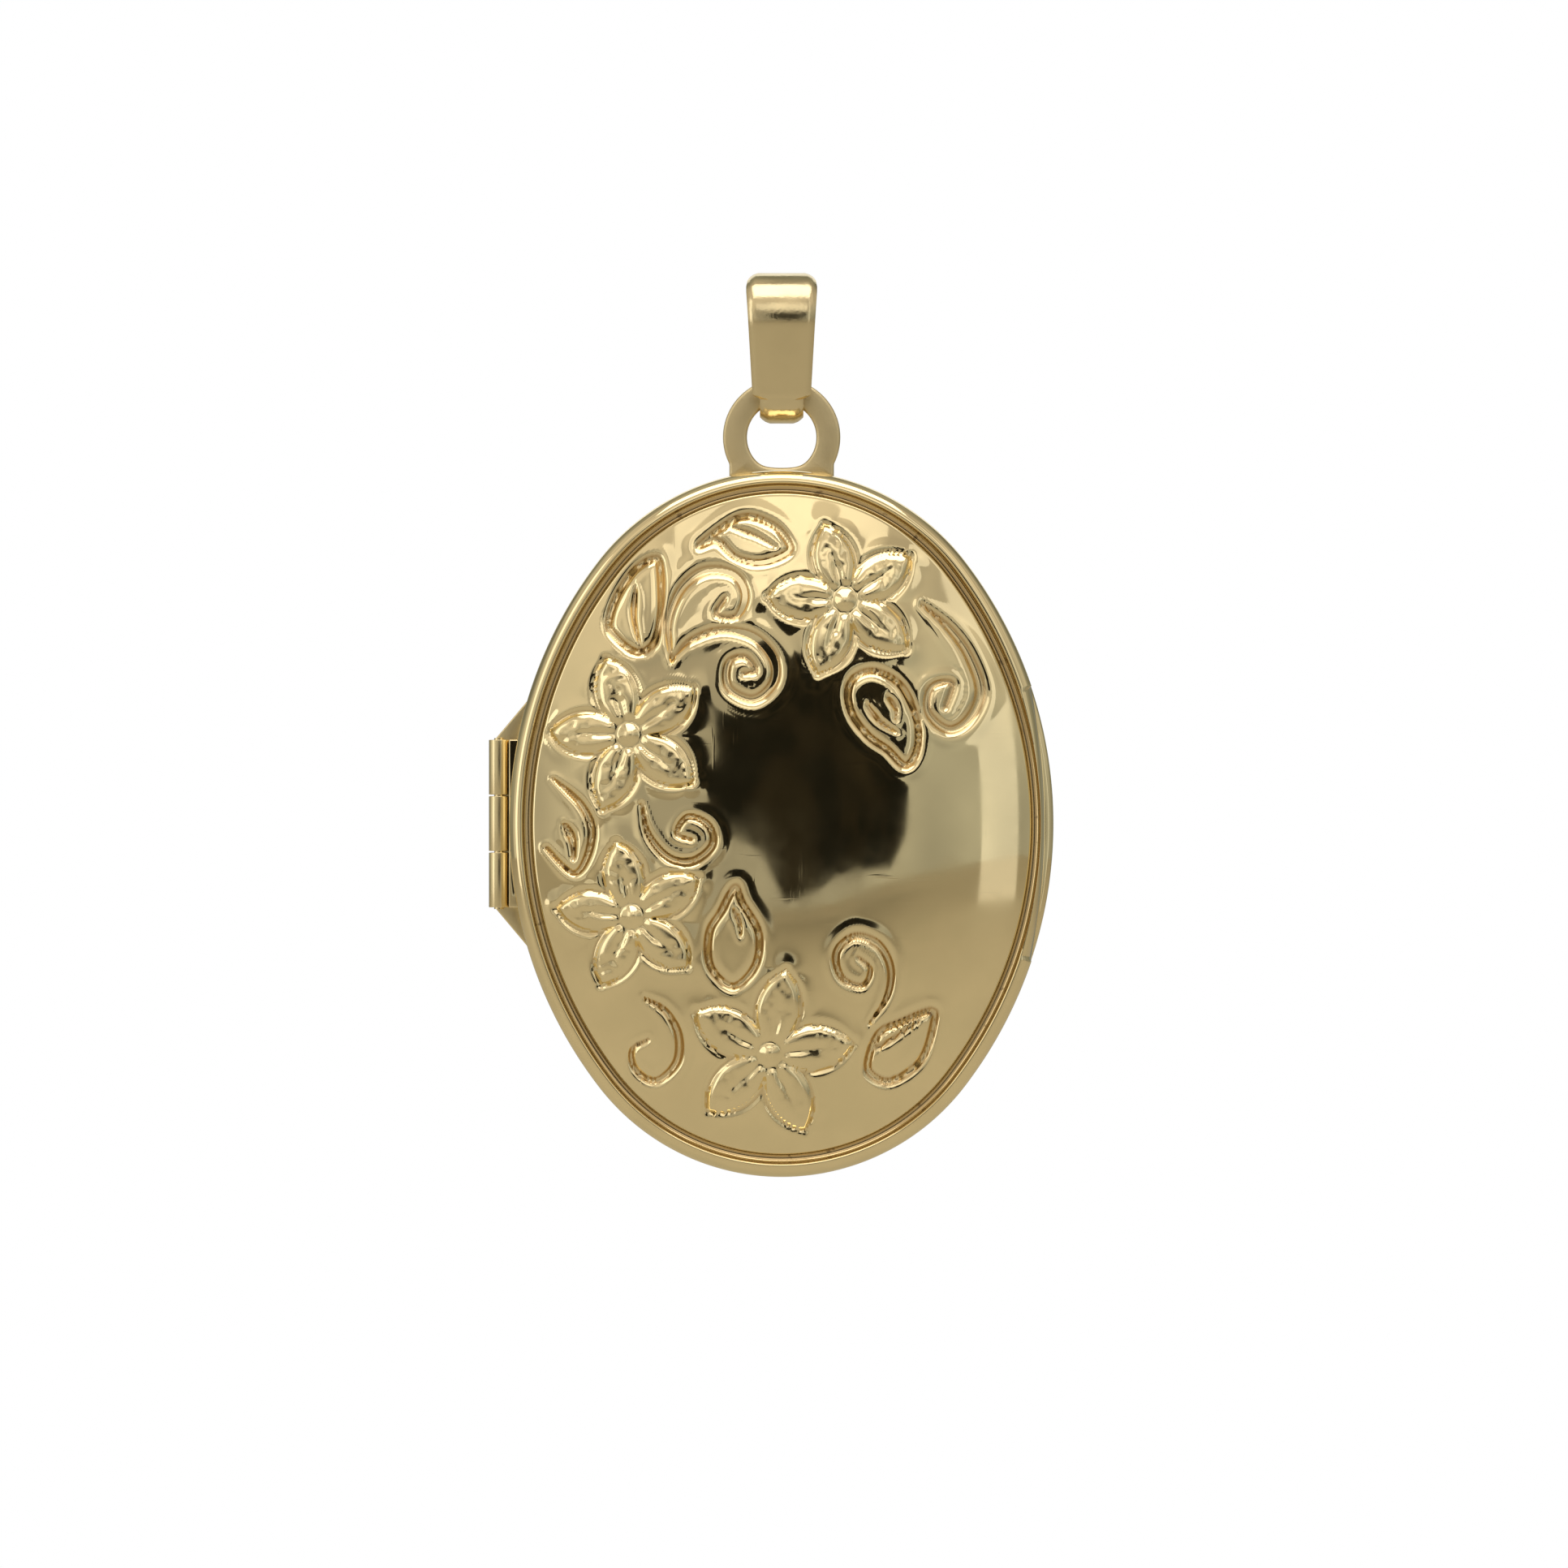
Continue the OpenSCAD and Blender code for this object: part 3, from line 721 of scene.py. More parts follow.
def add_piece(mesh, name, material, body, stands_for):
    piece = bpy.data.objects.new(name, mesh)
    scene.collection.objects.link(piece)
    mesh.materials.clear()
    mesh.materials.append(material)
    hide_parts(*stands_for)
    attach(piece, body)
    print(name, "faces", len(mesh.polygons), "volume mm3", round(volume_of(mesh), 2))


# %% [markdown]
# The halves are built lying down and then stood up by a turn, one way for the cover and the
# other way for the back. A turn, unlike a mirror, keeps the faces pointing outwards. The cover
# has fine cells for its engraving, and the plain back needs fewer.

# %% The cover and the back
COVER_CELLS = 236
BACK_CELLS = 120


def stood_up(mesh, degrees):
    """Turns a lying half about X and moves it to its place, in metres."""
    mesh.transform(Matrix.Translation((0, part_y * MM, case_z * MM))
                   @ Matrix.Rotation(math.radians(degrees), 4, "X") @ Matrix.Scale(MM, 4))
    return mesh


cover_mesh = half_case("cover shell", COVER_CELLS, COVER_EDGE, cut=relief_cut, ornament=engraving)
add_piece(stood_up(cover_mesh, 90), "cover_shell", polished_gold, "cover", ["front_case"])
back_mesh = half_case("back shell", BACK_CELLS, BACK_EDGE)
add_piece(stood_up(back_mesh, -90), "back_shell", polished_gold, "case", ["back_case"])

# %% [markdown]
# ## The top loop
# The loop is a flat ring with a broad foot, soldered to the top of the back half. Walking once
# round the hole, the ring's inner and outer edge are each a distance from the hole's centre.
# The hole is flat at the bottom, where the solder fills it, with rounded corners.

# %% The loop's two edges
loop_low, loop_high = box_mm("top_loop")
loop_half_t = (loop_high[1] - loop_low[1]) / 2
loop_r = loop_high[0]
loop_z = loop_high[2] - loop_r
case_top = case_z + half_h
LOOP_HOLE_R = 1.18
LOOP_FOOT = 1.78
FOOT_H = 0.35
SOLDER_H = 0.08
SOLDER_BLEND = 0.10
IN_CASE = 0.22


def loop_edges(angle):
    """Outer and inner distance from the hole's centre in a direction."""
    c, s = math.cos(angle), math.sin(angle)
    outer, inner = loop_r, LOOP_HOLE_R
    if s < 0:
        down = loop_z - case_top
        sideways = LOOP_FOOT / max(abs(c), 1e-6)
        if sideways * -s > down - FOOT_H:
            outer = max(outer, sideways)
        outer = min(outer, (down + IN_CASE) / -s)
        flat = (down - SOLDER_H) / -s
        blend = SOLDER_BLEND
        inner = -blend * math.log(math.exp(-inner / blend) + math.exp(-flat / blend))
    return outer, inner


print("loop hole", round(2 * LOOP_HOLE_R, 2), "wide, loop", round(2 * loop_r, 2))

# %% [markdown]
# The loop and the bail are both closed bands with a rounded section, so both are made as rings
# of points that follow each other round a closed way. The last step, the same for every small
# piece, turns millimetres into metres and keeps corners crisp.

# %% A closed band from its rings
def closed_band(name, rings):
    count, size = len(rings), len(rings[0])
    faces = []
    for i in range(count):
        for k in range(size):
            j, m = (i + 1) % count, (k + 1) % size
            faces.append((i * size + k, i * size + m, j * size + m, j * size + k))
    mesh = bpy.data.meshes.new(name)
    mesh.from_pydata([point for ring in rings for point in ring], [], faces)
    return mesh


def finish_mesh(mesh, sharp=45):
    """Millimetres to metres, faces outwards, smooth with sharp corners kept."""
    mesh.transform(Matrix.Scale(MM, 4))
    shape = bmesh.new()
    shape.from_mesh(mesh)
    bmesh.ops.remove_doubles(shape, verts=shape.verts, dist=1e-7)
    bmesh.ops.recalc_face_normals(shape, faces=shape.faces)
    shape.to_mesh(mesh)
    shape.free()
    mesh.polygons.foreach_set("use_smooth", [True] * len(mesh.polygons))
    mesh.set_sharp_from_angle(angle=math.radians(sharp))
    mesh.update()
    return mesh


def set_tone(mesh, value):
    """One value of the finish all over a piece: above 0 is worked matt, below 0 gets the painted brown
    shade of the cuts.
    """
    tone = mesh.attributes.new("relief", "FLOAT", "POINT")
    tone.data.foreach_set("value", [value] * len(mesh.vertices))
    return mesh


# %% [markdown]
# The loop was cut out and filed, never polished, so it stays matt next to the bright case.

# %% The loop
LOOP_STEPS = 192
CORNER = 0.11
CORNER_STEPS = 3
MATT = 0.26


def loop_section(angle):
    """The ring's section in a direction, with its four corners rounded."""
    outer, inner = loop_edges(angle)
    points = []
    for side, level in ((1, 1), (-1, 1), (-1, -1), (1, -1)):
        for step in range(CORNER_STEPS + 1):
            bend = math.radians(90 * step / CORNER_STEPS)
            if side * level < 0:
                bend = math.radians(90) - bend
            edge = outer if side > 0 else inner
            reach = edge - side * CORNER * (1 - math.cos(bend))
            depth = level * (loop_half_t - CORNER * (1 - math.sin(bend)))
            points.append((reach * math.cos(angle), depth, loop_z + reach * math.sin(angle)))
    return points


loop_mesh = closed_band("top loop", [loop_section(2 * math.pi * i / LOOP_STEPS)
                                     for i in range(LOOP_STEPS)])
add_piece(set_tone(finish_mesh(loop_mesh), MATT), "hanging_loop", satin_gold, "case", ["top_loop"])

# %% [markdown]
# ## The bail
# The bail is one strip of sheet, bent round a large pin at the top and a small one at the
# bottom. It is broad at the top, narrows to the shoulders, and passes through the loop as a
# narrow foot. From the side, its middle line is two turns joined by two straight runs.

# %% The bent line
bail_low, bail_high = box_mm("bail")
BAIL_WALL = 0.35
EYE_R = 1.20
FOOT_R = 0.65
TURN_STEPS = 56
FOOT_STEPS = 36
RUN_STEPS = 34
bail_top = bail_high[2]
foot_centre = bail_low[2] + FOOT_R + BAIL_WALL


def strip_path():
    """The middle line of the strip from the side: y, z and the outward direction."""
    lean = math.asin((EYE_R - FOOT_R) / -foot_centre)
    path = []

    def turn(radius, centre_z, start, stop, steps):
        for i in range(steps + 1):
            a = start + (stop - start) * i / steps
            path.append((radius * math.cos(a), centre_z + radius * math.sin(a),
                         math.cos(a), math.sin(a)))

    def run(radius, centre_z):
        """Straight on, up to where the next turn starts."""
        y0, z0, ny, nz = path[-1]
        y1, z1 = radius * ny, centre_z + radius * nz
        for i in range(1, RUN_STEPS):
            t = i / RUN_STEPS
            path.append((y0 + (y1 - y0) * t, z0 + (z1 - z0) * t, ny, nz))

    eye = (EYE_R + BAIL_WALL / 2, 0.0)
    foot = (FOOT_R + BAIL_WALL / 2, foot_centre)
    turn(*eye, -lean, math.pi + lean, TURN_STEPS)
    run(*foot)
    turn(*foot, math.pi + lean, 2 * math.pi - lean, FOOT_STEPS)
    run(*eye)
    return path


print("bail line has", len(strip_path()), "points")

# %% [markdown]
# The strip's width follows the height, from a list of marks. Its outer face has a broad bevel
# along each side, which catches a bright line, and its inner corners are only just broken.

# %% The bent strip
BAIL_TOP_W = 2.42
BAIL_LOW_W = 2.0
BAIL_FOOT_W = 1.48
SIDE_BEVEL = 0.30
BEVEL_DROP = 0.12
BEVEL_BULGE = 0.42
BROKEN_EDGE = 0.05


def strip_half_width(z):
    """Half the strip's width at a height."""
    marks = [(bail_low[2], BAIL_FOOT_W / 2 - 0.13), (bail_low[2] + 0.14, BAIL_FOOT_W / 2),
             (foot_centre - 0.17, BAIL_FOOT_W / 2), (foot_centre - 0.10, BAIL_LOW_W / 2 - 0.02),
             (foot_centre, BAIL_LOW_W / 2), (bail_top - 0.45, BAIL_TOP_W / 2),
             (bail_top - 0.20, BAIL_TOP_W / 2 - 0.04), (bail_top, BAIL_TOP_W / 2 - 0.16)]
    return float(np.interp(z, [m[0] for m in marks], [m[1] for m in marks]))


def strip_section(y, z, ny, nz):
    """The strip's section at a place on its middle line."""
    w = strip_half_width(z + nz * BAIL_WALL / 4)
    out = BAIL_WALL / 2
    half = [(w - SIDE_BEVEL, out), (w - SIDE_BEVEL / 2, out - BEVEL_DROP * BEVEL_BULGE),
            (w - BROKEN_EDGE, out - BEVEL_DROP), (w, out - BEVEL_DROP - BROKEN_EDGE),
            (w, BROKEN_EDGE - out), (w - BROKEN_EDGE, -out)]
    section = [(-x, off) for x, off in half] + half[::-1]
    return [(x, y + ny * off, z + nz * off) for x, off in section]


strip_mesh = closed_band("bail", [strip_section(*place) for place in strip_path()])
add_piece(finish_mesh(strip_mesh, sharp=30), "bail_strip", satin_gold, "bail", ["bail"])

# %% [markdown]
# ## The hinge
# Three short tubes share one pin. The outer two belong to the back half and the middle one to
# the cover. The tubes repeat, so one tree of Geometry Nodes makes them: it carries the tube's
# section round a circle, and sets copies along the axis. Its sizes are named inputs.

# %% A tree of nodes with named inputs
FLOAT = "NodeSocketFloat"


def new_tree(name, sizes):
    tree = bpy.data.node_groups.new(name, "GeometryNodeTree")
    tree.interface.new_socket("Geometry", in_out="INPUT", socket_type="NodeSocketGeometry")
    for size, kind in sizes:
        tree.interface.new_socket(size, in_out="INPUT", socket_type=kind)
    tree.interface.new_socket("Geometry", in_out="OUTPUT", socket_type="NodeSocketGeometry")
    return tree, tree.nodes.new("NodeGroupInput").outputs, tree.nodes.new("NodeGroupOutput")


def run_tree(tree, source, values, name):
    """Runs the tree on an object and returns the result as a plain mesh."""
    holder = bpy.data.objects.new(name + " maker", source)
    scene.collection.objects.link(holder)
    modifier = holder.modifiers.new("make", "NODES")
    modifier.node_group = tree
    for item in tree.interface.items_tree:
        if item.in_out == "INPUT" and item.name in values:
            modifier[item.identifier] = values[item.name]
    bpy.context.view_layer.update()
    depsgraph = bpy.context.evaluated_depsgraph_get()
    mesh = bpy.data.meshes.new_from_object(holder.evaluated_get(depsgraph))
    mesh.name = name
    holder.modifiers.clear()
    bpy.data.objects.remove(holder)
    return mesh


# %% [markdown]
# Both trees of this lesson carry a rounded rectangle along a path, and both end the same way:
# copies are made real and the finish is set. Those three steps are functions.

# %% Steps that both trees share
def rounded_section(tree, width, height, rounding, steps):
    flat = new_node(tree, "GeometryNodeCurvePrimitiveQuadrilateral",
                    {"Width": width, "Height": height})
    return new_node(tree, "GeometryNodeFilletCurve",
                    {"Curve": flat.outputs["Curve"], "Radius": rounding, "Count": steps},
                    mode="POLY").outputs["Curve"]


def carried_along(tree, path, section, caps):
    upright = new_node(tree, "GeometryNodeSetCurveNormal", {"Curve": path}, mode="Z_UP")
    return new_node(tree, "GeometryNodeCurveToMesh",
                    {"Curve": upright.outputs["Curve"], "Profile Curve": section,
                     "Fill Caps": caps}).outputs["Mesh"]


def end_tree(tree, geometry, finish, result):
    real = new_node(tree, "GeometryNodeRealizeInstances", {"Geometry": geometry})
    finished = new_node(tree, "GeometryNodeSetMaterial",
                        {"Geometry": real.outputs["Geometry"], "Material": finish})
    feed(tree, result, {"Geometry": finished.outputs["Geometry"]})
    print(tree.name, "tree", len(tree.nodes), "nodes")


# %% [markdown]
# A knuckle is a tube, so its section is the wall between bore and outside, carried round a
# circle through the wall's middle. The copies stand on a line of points along the axis.

# %% The barrel tree
AROUND_KNUCKLE = 48
KNUCKLE_ROUND_STEPS = 4
barrel_tree, sizes, result = new_tree("knuckles", [
    ("Outer radius", FLOAT), ("Bore radius", FLOAT), ("Length", FLOAT), ("Rounding", FLOAT),
    ("Copies", "NodeSocketInt"), ("Pitch", FLOAT), ("Finish", "NodeSocketMaterial")])
outer, bore = sizes["Outer radius"], sizes["Bore radius"]
wall = maths(barrel_tree, "SUBTRACT", outer, bore)
middle = maths(barrel_tree, "DIVIDE", maths(barrel_tree, "ADD", outer, bore), 2.0)
tube_section = rounded_section(barrel_tree, wall, sizes["Length"], sizes["Rounding"],
                               KNUCKLE_ROUND_STEPS)
circle = new_node(barrel_tree, "GeometryNodeCurvePrimitiveCircle",
                  {"Resolution": AROUND_KNUCKLE, "Radius": middle})
tube = carried_along(barrel_tree, circle.outputs["Curve"], tube_section, False)
step_up = new_node(barrel_tree, "ShaderNodeCombineXYZ", {"Z": sizes["Pitch"]})
places = new_node(barrel_tree, "GeometryNodeMeshLine",
                  {"Count": sizes["Copies"], "Offset": step_up.outputs["Vector"]})
copies = new_node(barrel_tree, "GeometryNodeInstanceOnPoints",
                  {"Points": places.outputs["Mesh"], "Instance": tube})
end_tree(barrel_tree, copies.outputs["Instances"], sizes["Finish"], result)

# %% [markdown]
# The tree runs twice: for the two knuckles of the back half, which hold the pin fast, and for
# the cover's own, whose bore has a little play so that it turns.

# %% The knuckles
pin_low, pin_high = box_mm("hinge_pin")
pin_r = (pin_high[0] - pin_low[0]) / 2
axis_x = (pin_high[0] + pin_low[0]) / 2
upper_low, upper_high = box_mm("back_knuckle_upper")
lower_low, lower_high = box_mm("back_knuckle_lower")
middle_low, middle_high = box_mm("front_knuckle")
knuckle_r = (upper_high[0] - upper_low[0]) / 2
KNUCKLE_EDGE = 0.02
PIN_PLAY = 0.03
HALF_MATT = 0.20


def knuckles(name, lowest, highest, wanted, pitch, bore_r):
    values = {"Outer radius": knuckle_r, "Bore radius": bore_r, "Length": highest - lowest,
              "Rounding": KNUCKLE_EDGE, "Copies": wanted, "Pitch": pitch, "Finish": polished_gold}
    mesh = run_tree(barrel_tree, bpy.data.meshes.new("seed"), values, name)
    mesh.transform(Matrix.Translation((axis_x, part_y, (lowest + highest) / 2)))
    return set_tone(finish_mesh(mesh), HALF_MATT)


back_pair = knuckles("back knuckles", lower_low[2], lower_high[2], 2, upper_low[2] - lower_low[2],
                     pin_r)
add_piece(back_pair, "back_knuckles", polished_gold, "case",
          ["back_knuckle_upper", "back_knuckle_lower"])
cover_one = knuckles("cover knuckle", middle_low[2], middle_high[2], 1, 1.0, pin_r + PIN_PLAY)
add_piece(cover_one, "cover_knuckle", polished_gold, "cover", ["front_knuckle"])

# %% [markdown]
# The pin is turned: its outline from the side is spun round the axis, and its ends are
# rounded over where a hammer has set them.

# %% Spinning the pin
PIN_AROUND = 32
PIN_END = 0.08
PIN_FLAT = 0.35
PIN_END_STEPS = 4


def turned(name, outline, around):
    """A closed turned piece from its outline: radius and height, from bottom to top."""
    verts, faces = [(0, 0, outline[0][1])], []
    for radius, height in outline:
        for i in range(around):
            a = 2 * math.pi * i / around
            verts.append((radius * math.cos(a), radius * math.sin(a), height))
    verts.append((0, 0, outline[-1][1]))
    top = len(verts) - 1
    last = 1 + (len(outline) - 1) * around
    for i in range(around):
        j = (i + 1) % around
        faces.append((0, 1 + j, 1 + i))
        for k in range(len(outline) - 1):
            a, b = 1 + k * around, 1 + (k + 1) * around
            faces.append((a + i, a + j, b + j, b + i))
        faces.append((last + i, last + j, top))
    mesh = bpy.data.meshes.new(name)
    mesh.from_pydata(verts, [], faces)
    return mesh


pin_outline = []
for step in range(PIN_END_STEPS + 1):
    bend = math.radians(90 * step / PIN_END_STEPS)
    pin_outline.append((pin_r * (PIN_FLAT + (1 - PIN_FLAT) * math.sin(bend)),
                        pin_low[2] + PIN_END * (1 - math.sin(bend))))
pin_outline += [(r, pin_high[2] + pin_low[2] - z) for r, z in reversed(pin_outline)]
pin_mesh = turned("hinge pin", pin_outline, PIN_AROUND)
pin_mesh.transform(Matrix.Translation((axis_x, part_y, 0)))
add_piece(finish_mesh(pin_mesh), "pin", inner_gold, "case", ["hinge_pin"])

# %% [markdown]
# Behind the barrel a trapezoid plate is soldered to the back half, and a short bearer strip
# squares up the cover's curved side. Both are cut from flat stock, so each is an outline with
# thickness and a small bevel on all of its edges. Their inner side follows the case's own side
# arc and lies a little inside the rim, as soldered metal does.

# %% Flat pieces with bevelled edges
INTO_RIM = 0.10
BEVEL_SEGMENTS = 3


def flat_piece(name, outline, y_low, y_high, bevel):
    """An outline in x and z, thick along y."""
    shape = bmesh.new()
    face = shape.faces.new([shape.verts.new((x, y_low, z)) for x, z in outline])
    grown = bmesh.ops.extrude_face_region(shape, geom=[face])
    moved = [g for g in grown["geom"] if isinstance(g, bmesh.types.BMVert)]
    bmesh.ops.translate(shape, verts=moved, vec=(0, y_high - y_low, 0))
    bmesh.ops.recalc_face_normals(shape, faces=shape.faces)
    bmesh.ops.bevel(shape, geom=list(shape.edges), offset=bevel, segments=BEVEL_SEGMENTS,
                    profile=0.6, affect="EDGES", clamp_overlap=True)
    mesh = bpy.data.meshes.new(name)
    shape.to_mesh(mesh)
    shape.free()
    return finish_mesh(mesh)


def side_outline(outer_x, outer_low, outer_high, side_half_h, steps):
    """A straight outer side, and an inner side along the case's left side arc."""
    outline = [(outer_x, outer_low), (outer_x, outer_high)]
    for step in range(steps + 1):
        z = side_half_h * (1 - 2 * step / steps)
        outline.append((side_c - math.sqrt((side_r - INTO_RIM) ** 2 - z**2), case_z + z))
    return outline


plate_low, plate_high = box_mm("hinge_plate")
plate_outline = side_outline(plate_low[0], case_z - (upper_high[2] - case_z),
                             case_z + (upper_high[2] - case_z), plate_high[2] - case_z, 8)
plate_mesh = flat_piece("hinge plate", plate_outline, plate_low[1], plate_high[1], 0.05)
add_piece(set_tone(plate_mesh, MATT), "plate", polished_gold, "case", ["hinge_plate"])

bearer_low, bearer_high = box_mm("front_bearer")
bearer_outline = side_outline(bearer_low[0], bearer_low[2], bearer_high[2],
                              bearer_high[2] - case_z, 6)
bearer_mesh = flat_piece("bearer", bearer_outline, bearer_low[1], bearer_high[1], 0.04)
add_piece(bearer_mesh, "bearer", polished_gold, "cover", ["front_bearer"])

# %% [markdown]
# ## The snap lip
# A thin band stands up inside the back half, and the cover snaps over it. It follows the oval,
# so it is a section carried along a path. The tree below takes the path as its geometry, and
# the section's thickness and height as inputs.

# %% The band tree
band_tree, sizes, result = new_tree("oval band", [
    ("Thickness", FLOAT), ("Height", FLOAT), ("Rounding", FLOAT), ("Finish", "NodeSocketMaterial")])
band_section = rounded_section(band_tree, sizes["Thickness"], sizes["Height"], sizes["Rounding"], 2)
band_path = new_node(band_tree, "GeometryNodeMeshToCurve", {"Mesh": sizes["Geometry"]})
band_sweep = carried_along(band_tree, band_path.outputs["Curve"], band_section, True)
end_tree(band_tree, band_sweep, sizes["Finish"], result)

# %% [markdown]
# The path is the oval at an inset, as a line of edges. It closes on itself, or it stops where a
# stretch is left out, and then the band gets caps at its ends.

# %% Running the band round the oval
PATH_STEPS = 360


def oval_path(inset, level, keep=None):
    """The oval as a line of edges. keep says which of its points stay, if not all do."""
    turn = np.linspace(0, 4, PATH_STEPS, endpoint=False)
    x, y = oval_at(turn, inset)
    points = list(zip(x, y))
    closed = keep is None
    if not closed:
        kept = [keep(px, py) for px, py in points]
        start = next(i for i in range(PATH_STEPS) if kept[i] and not kept[i - 1])
        points = [points[(start + i) % PATH_STEPS] for i in range(PATH_STEPS)
                  if kept[(start + i) % PATH_STEPS]]
    count = len(points)
    edges = [(i, (i + 1) % count) for i in range(count if closed else count - 1)]
    mesh = bpy.data.meshes.new("path")
    mesh.from_pydata([(px, py, level) for px, py in points], edges, [])
    return mesh


def band(name, inset_in, inset_out, low, high, rounding, keep=None):
    values = {"Thickness": inset_in - inset_out, "Height": high - low, "Rounding": rounding,
              "Finish": inner_gold}
    path = oval_path((inset_in + inset_out) / 2, (low + high) / 2, keep)
    return run_tree(band_tree, path, values, name)


def joined(name, meshes):
    shape = bmesh.new()
    for mesh in meshes:
        shape.from_mesh(mesh)
    mesh = bpy.data.meshes.new(name)
    shape.to_mesh(mesh)
    shape.free()
    return mesh


# %% [markdown]
# The tree runs three times: all the way round where the band is seated, for the part that
# stands up, which is open beside the hinge, and for a low ridge at the far side that gives the
# catch its click. Heights count into the back half, so the part that stands up is below 0.

# %% The snap band
LIP_T = 0.20
LIP_CLEAR = 0.04
LIP_REACH = 0.40
LIP_FOOT = 0.10
LIP_GAP_HALF = 3.2
RIDGE_HALF = 3.0
RIDGE_PROUD = 0.02
RIDGE_ROOT = 0.05
RIDGE_RISE = 0.06

lip_out = RIM_WALL + LIP_CLEAR
lip_in = lip_out + LIP_T
seat = band("lip seat", lip_in, RIM_WALL + 0.01, 0.03, LEDGE - 0.01, 0.01)
lip = band("lip", lip_in, lip_out, -LIP_REACH, LIP_FOOT, 0.05,
           keep=lambda x, y: x > 0 or abs(y) > LIP_GAP_HALF)
ridge = band("snap ridge", lip_out + RIDGE_ROOT, lip_out - RIDGE_PROUD,
             -LIP_REACH / 2 - RIDGE_RISE, -LIP_REACH / 2 + RIDGE_RISE, 0.02,
             keep=lambda x, y: x > 0 and abs(y) < RIDGE_HALF)
lip_mesh = joined("snap lip", [seat, lip, ridge])
lip_mesh.transform(Matrix.Translation((0, part_y, case_z))
                   @ Matrix.Rotation(math.radians(-90), 4, "X"))
add_piece(finish_mesh(lip_mesh), "snap_band", inner_gold, "case", ["snap_lip"])

# %% [markdown]
# ## Inside
# The photo frames, the clear windows and the blank cards keep the working model's shape: they
# are flat sheets, true already. They only need their finishes: rolled gold, clear plastic with
# a faint haze, and a matt card with a paper grain.

# %% Plastic and card
def clear_plastic():
    material, tree, shader = new_material("clear window")
    haze = map_range(tree, noise(tree, 700.0, 4.0), 0.35, 0.7, 0.04, 0.07)
    feed(tree, shader, {"Base Color": (0.96, 0.98, 1.0, 1.0), "Alpha": 0.22, "IOR": 1.49,
                        "Roughness": haze})
    return material


def paper_card():
    material, tree, shader = new_material("photo card")
    fibre = noise(tree, 3500.0, 6.0)
    surface = mix_colour(tree, map_range(tree, fibre, 0.3, 0.7, 0, 1), (0.86, 0.82, 0.72, 1.0),
                         (0.92, 0.89, 0.80, 1.0))
    feed(tree, shader, {"Base Color": surface, "Roughness": 0.85,
                        "Normal": bumped(tree, fibre, 0.3, 0.01 * MM)})
    return material


window_finish = clear_plastic()
card_finish = paper_card()
for part, material in (("photo_frame", inner_gold), ("window", window_finish), ("card", card_finish)):
    for side in ("front", "back"):
        sheet = nodes[side + "_" + part].data
        sheet.materials.clear()
        sheet.materials.append(material)
        print(side, part, material.name)

# %% [markdown]
# ## Studio
# Polished metal shows its surroundings more than itself, so the studio is what colours it. The
# room is a soft gradient: warm above, darker below and behind, and cooler to the right, with
# some slow cloudiness so that nothing reflects as a flat tint. The backdrop itself is white.

# %% The room
scene.view_settings.view_transform = "Standard"

ROOM_LEFT = (0.56, 0.53, 0.45, 1.0)
ROOM_RIGHT = (0.41, 0.41, 0.36, 1.0)
ROOM_TOP = (0.66, 0.60, 0.50, 1.0)
ROOM_LOW = (0.33, 0.31, 0.25, 1.0)
ROOM_BACK = (0.24, 0.24, 0.19, 1.0)
WHITE = (1.0, 1.0, 1.0, 1.0)

world = bpy.data.worlds.new("studio")
scene.world = world
world.use_nodes = True
studio = world.node_tree
studio.nodes.clear()
way = new_node(studio, "ShaderNodeTexCoord").outputs["Generated"]
axes = new_node(studio, "ShaderNodeSeparateXYZ", {"Vector": way}).outputs


def room_blend(axis, low, high, first, second):
    """From one colour to the other along an axis of the direction looked in."""
    return mix_colour(studio, map_range(studio, axes[axis], low, high, 0, 1), first, second)


across = room_blend("X", -0.5, 0.4, ROOM_LEFT, ROOM_RIGHT)
upwards = room_blend("Z", 0.10, 0.55, across, ROOM_TOP)
downwards = room_blend("Z", -0.10, -0.45, upwards, ROOM_LOW)
backwards = room_blend("Y", 0.0, 0.6, downwards, ROOM_BACK)
drift = new_node(studio, "ShaderNodeTexNoise", {"Vector": way, "Scale": 2.4, "Detail": 1.0})
strength = map_range(studio, drift.outputs["Fac"], 0.38, 0.62, 0.72, 1.18)
room = new_node(studio, "ShaderNodeBackground", {"Color": backwards, "Strength": strength})
paper = new_node(studio, "ShaderNodeBackground", {"Color": WHITE})
seen = new_node(studio, "ShaderNodeLightPath").outputs["Is Camera Ray"]
either = new_node(studio, "ShaderNodeMixShader", {
    0: seen, 1: room.outputs["Background"], 2: paper.outputs["Background"]})
new_node(studio, "ShaderNodeOutputWorld", {"Surface": either.outputs["Shader"]})
print("room nodes", len(studio.nodes))

# %% [markdown]
# Five soft panels light the locket: a large one above, a small one in front, a tall one to the
# right that draws a bright band down that side, one to the left for the hinge, and one behind,
# which nothing but the back half sees.

# %% The light panels
target = Vector((0, 0, case_z * MM))


def panel(name, place, width, height, radiance, tint=(1, 1, 1)):
    """A soft light panel that faces the locket, as bright as its radiance asks."""
    data = bpy.data.lights.new(name, "AREA")
    data.shape = "RECTANGLE"
    data.size = width
    data.size_y = height
    data.energy = radiance * math.pi * width * height
    data.color = tint
    light = bpy.data.objects.new(name, data)
    light.location = place
    light.rotation_euler = (target - Vector(place)).to_track_quat("-Z", "Y").to_euler()
    scene.collection.objects.link(light)


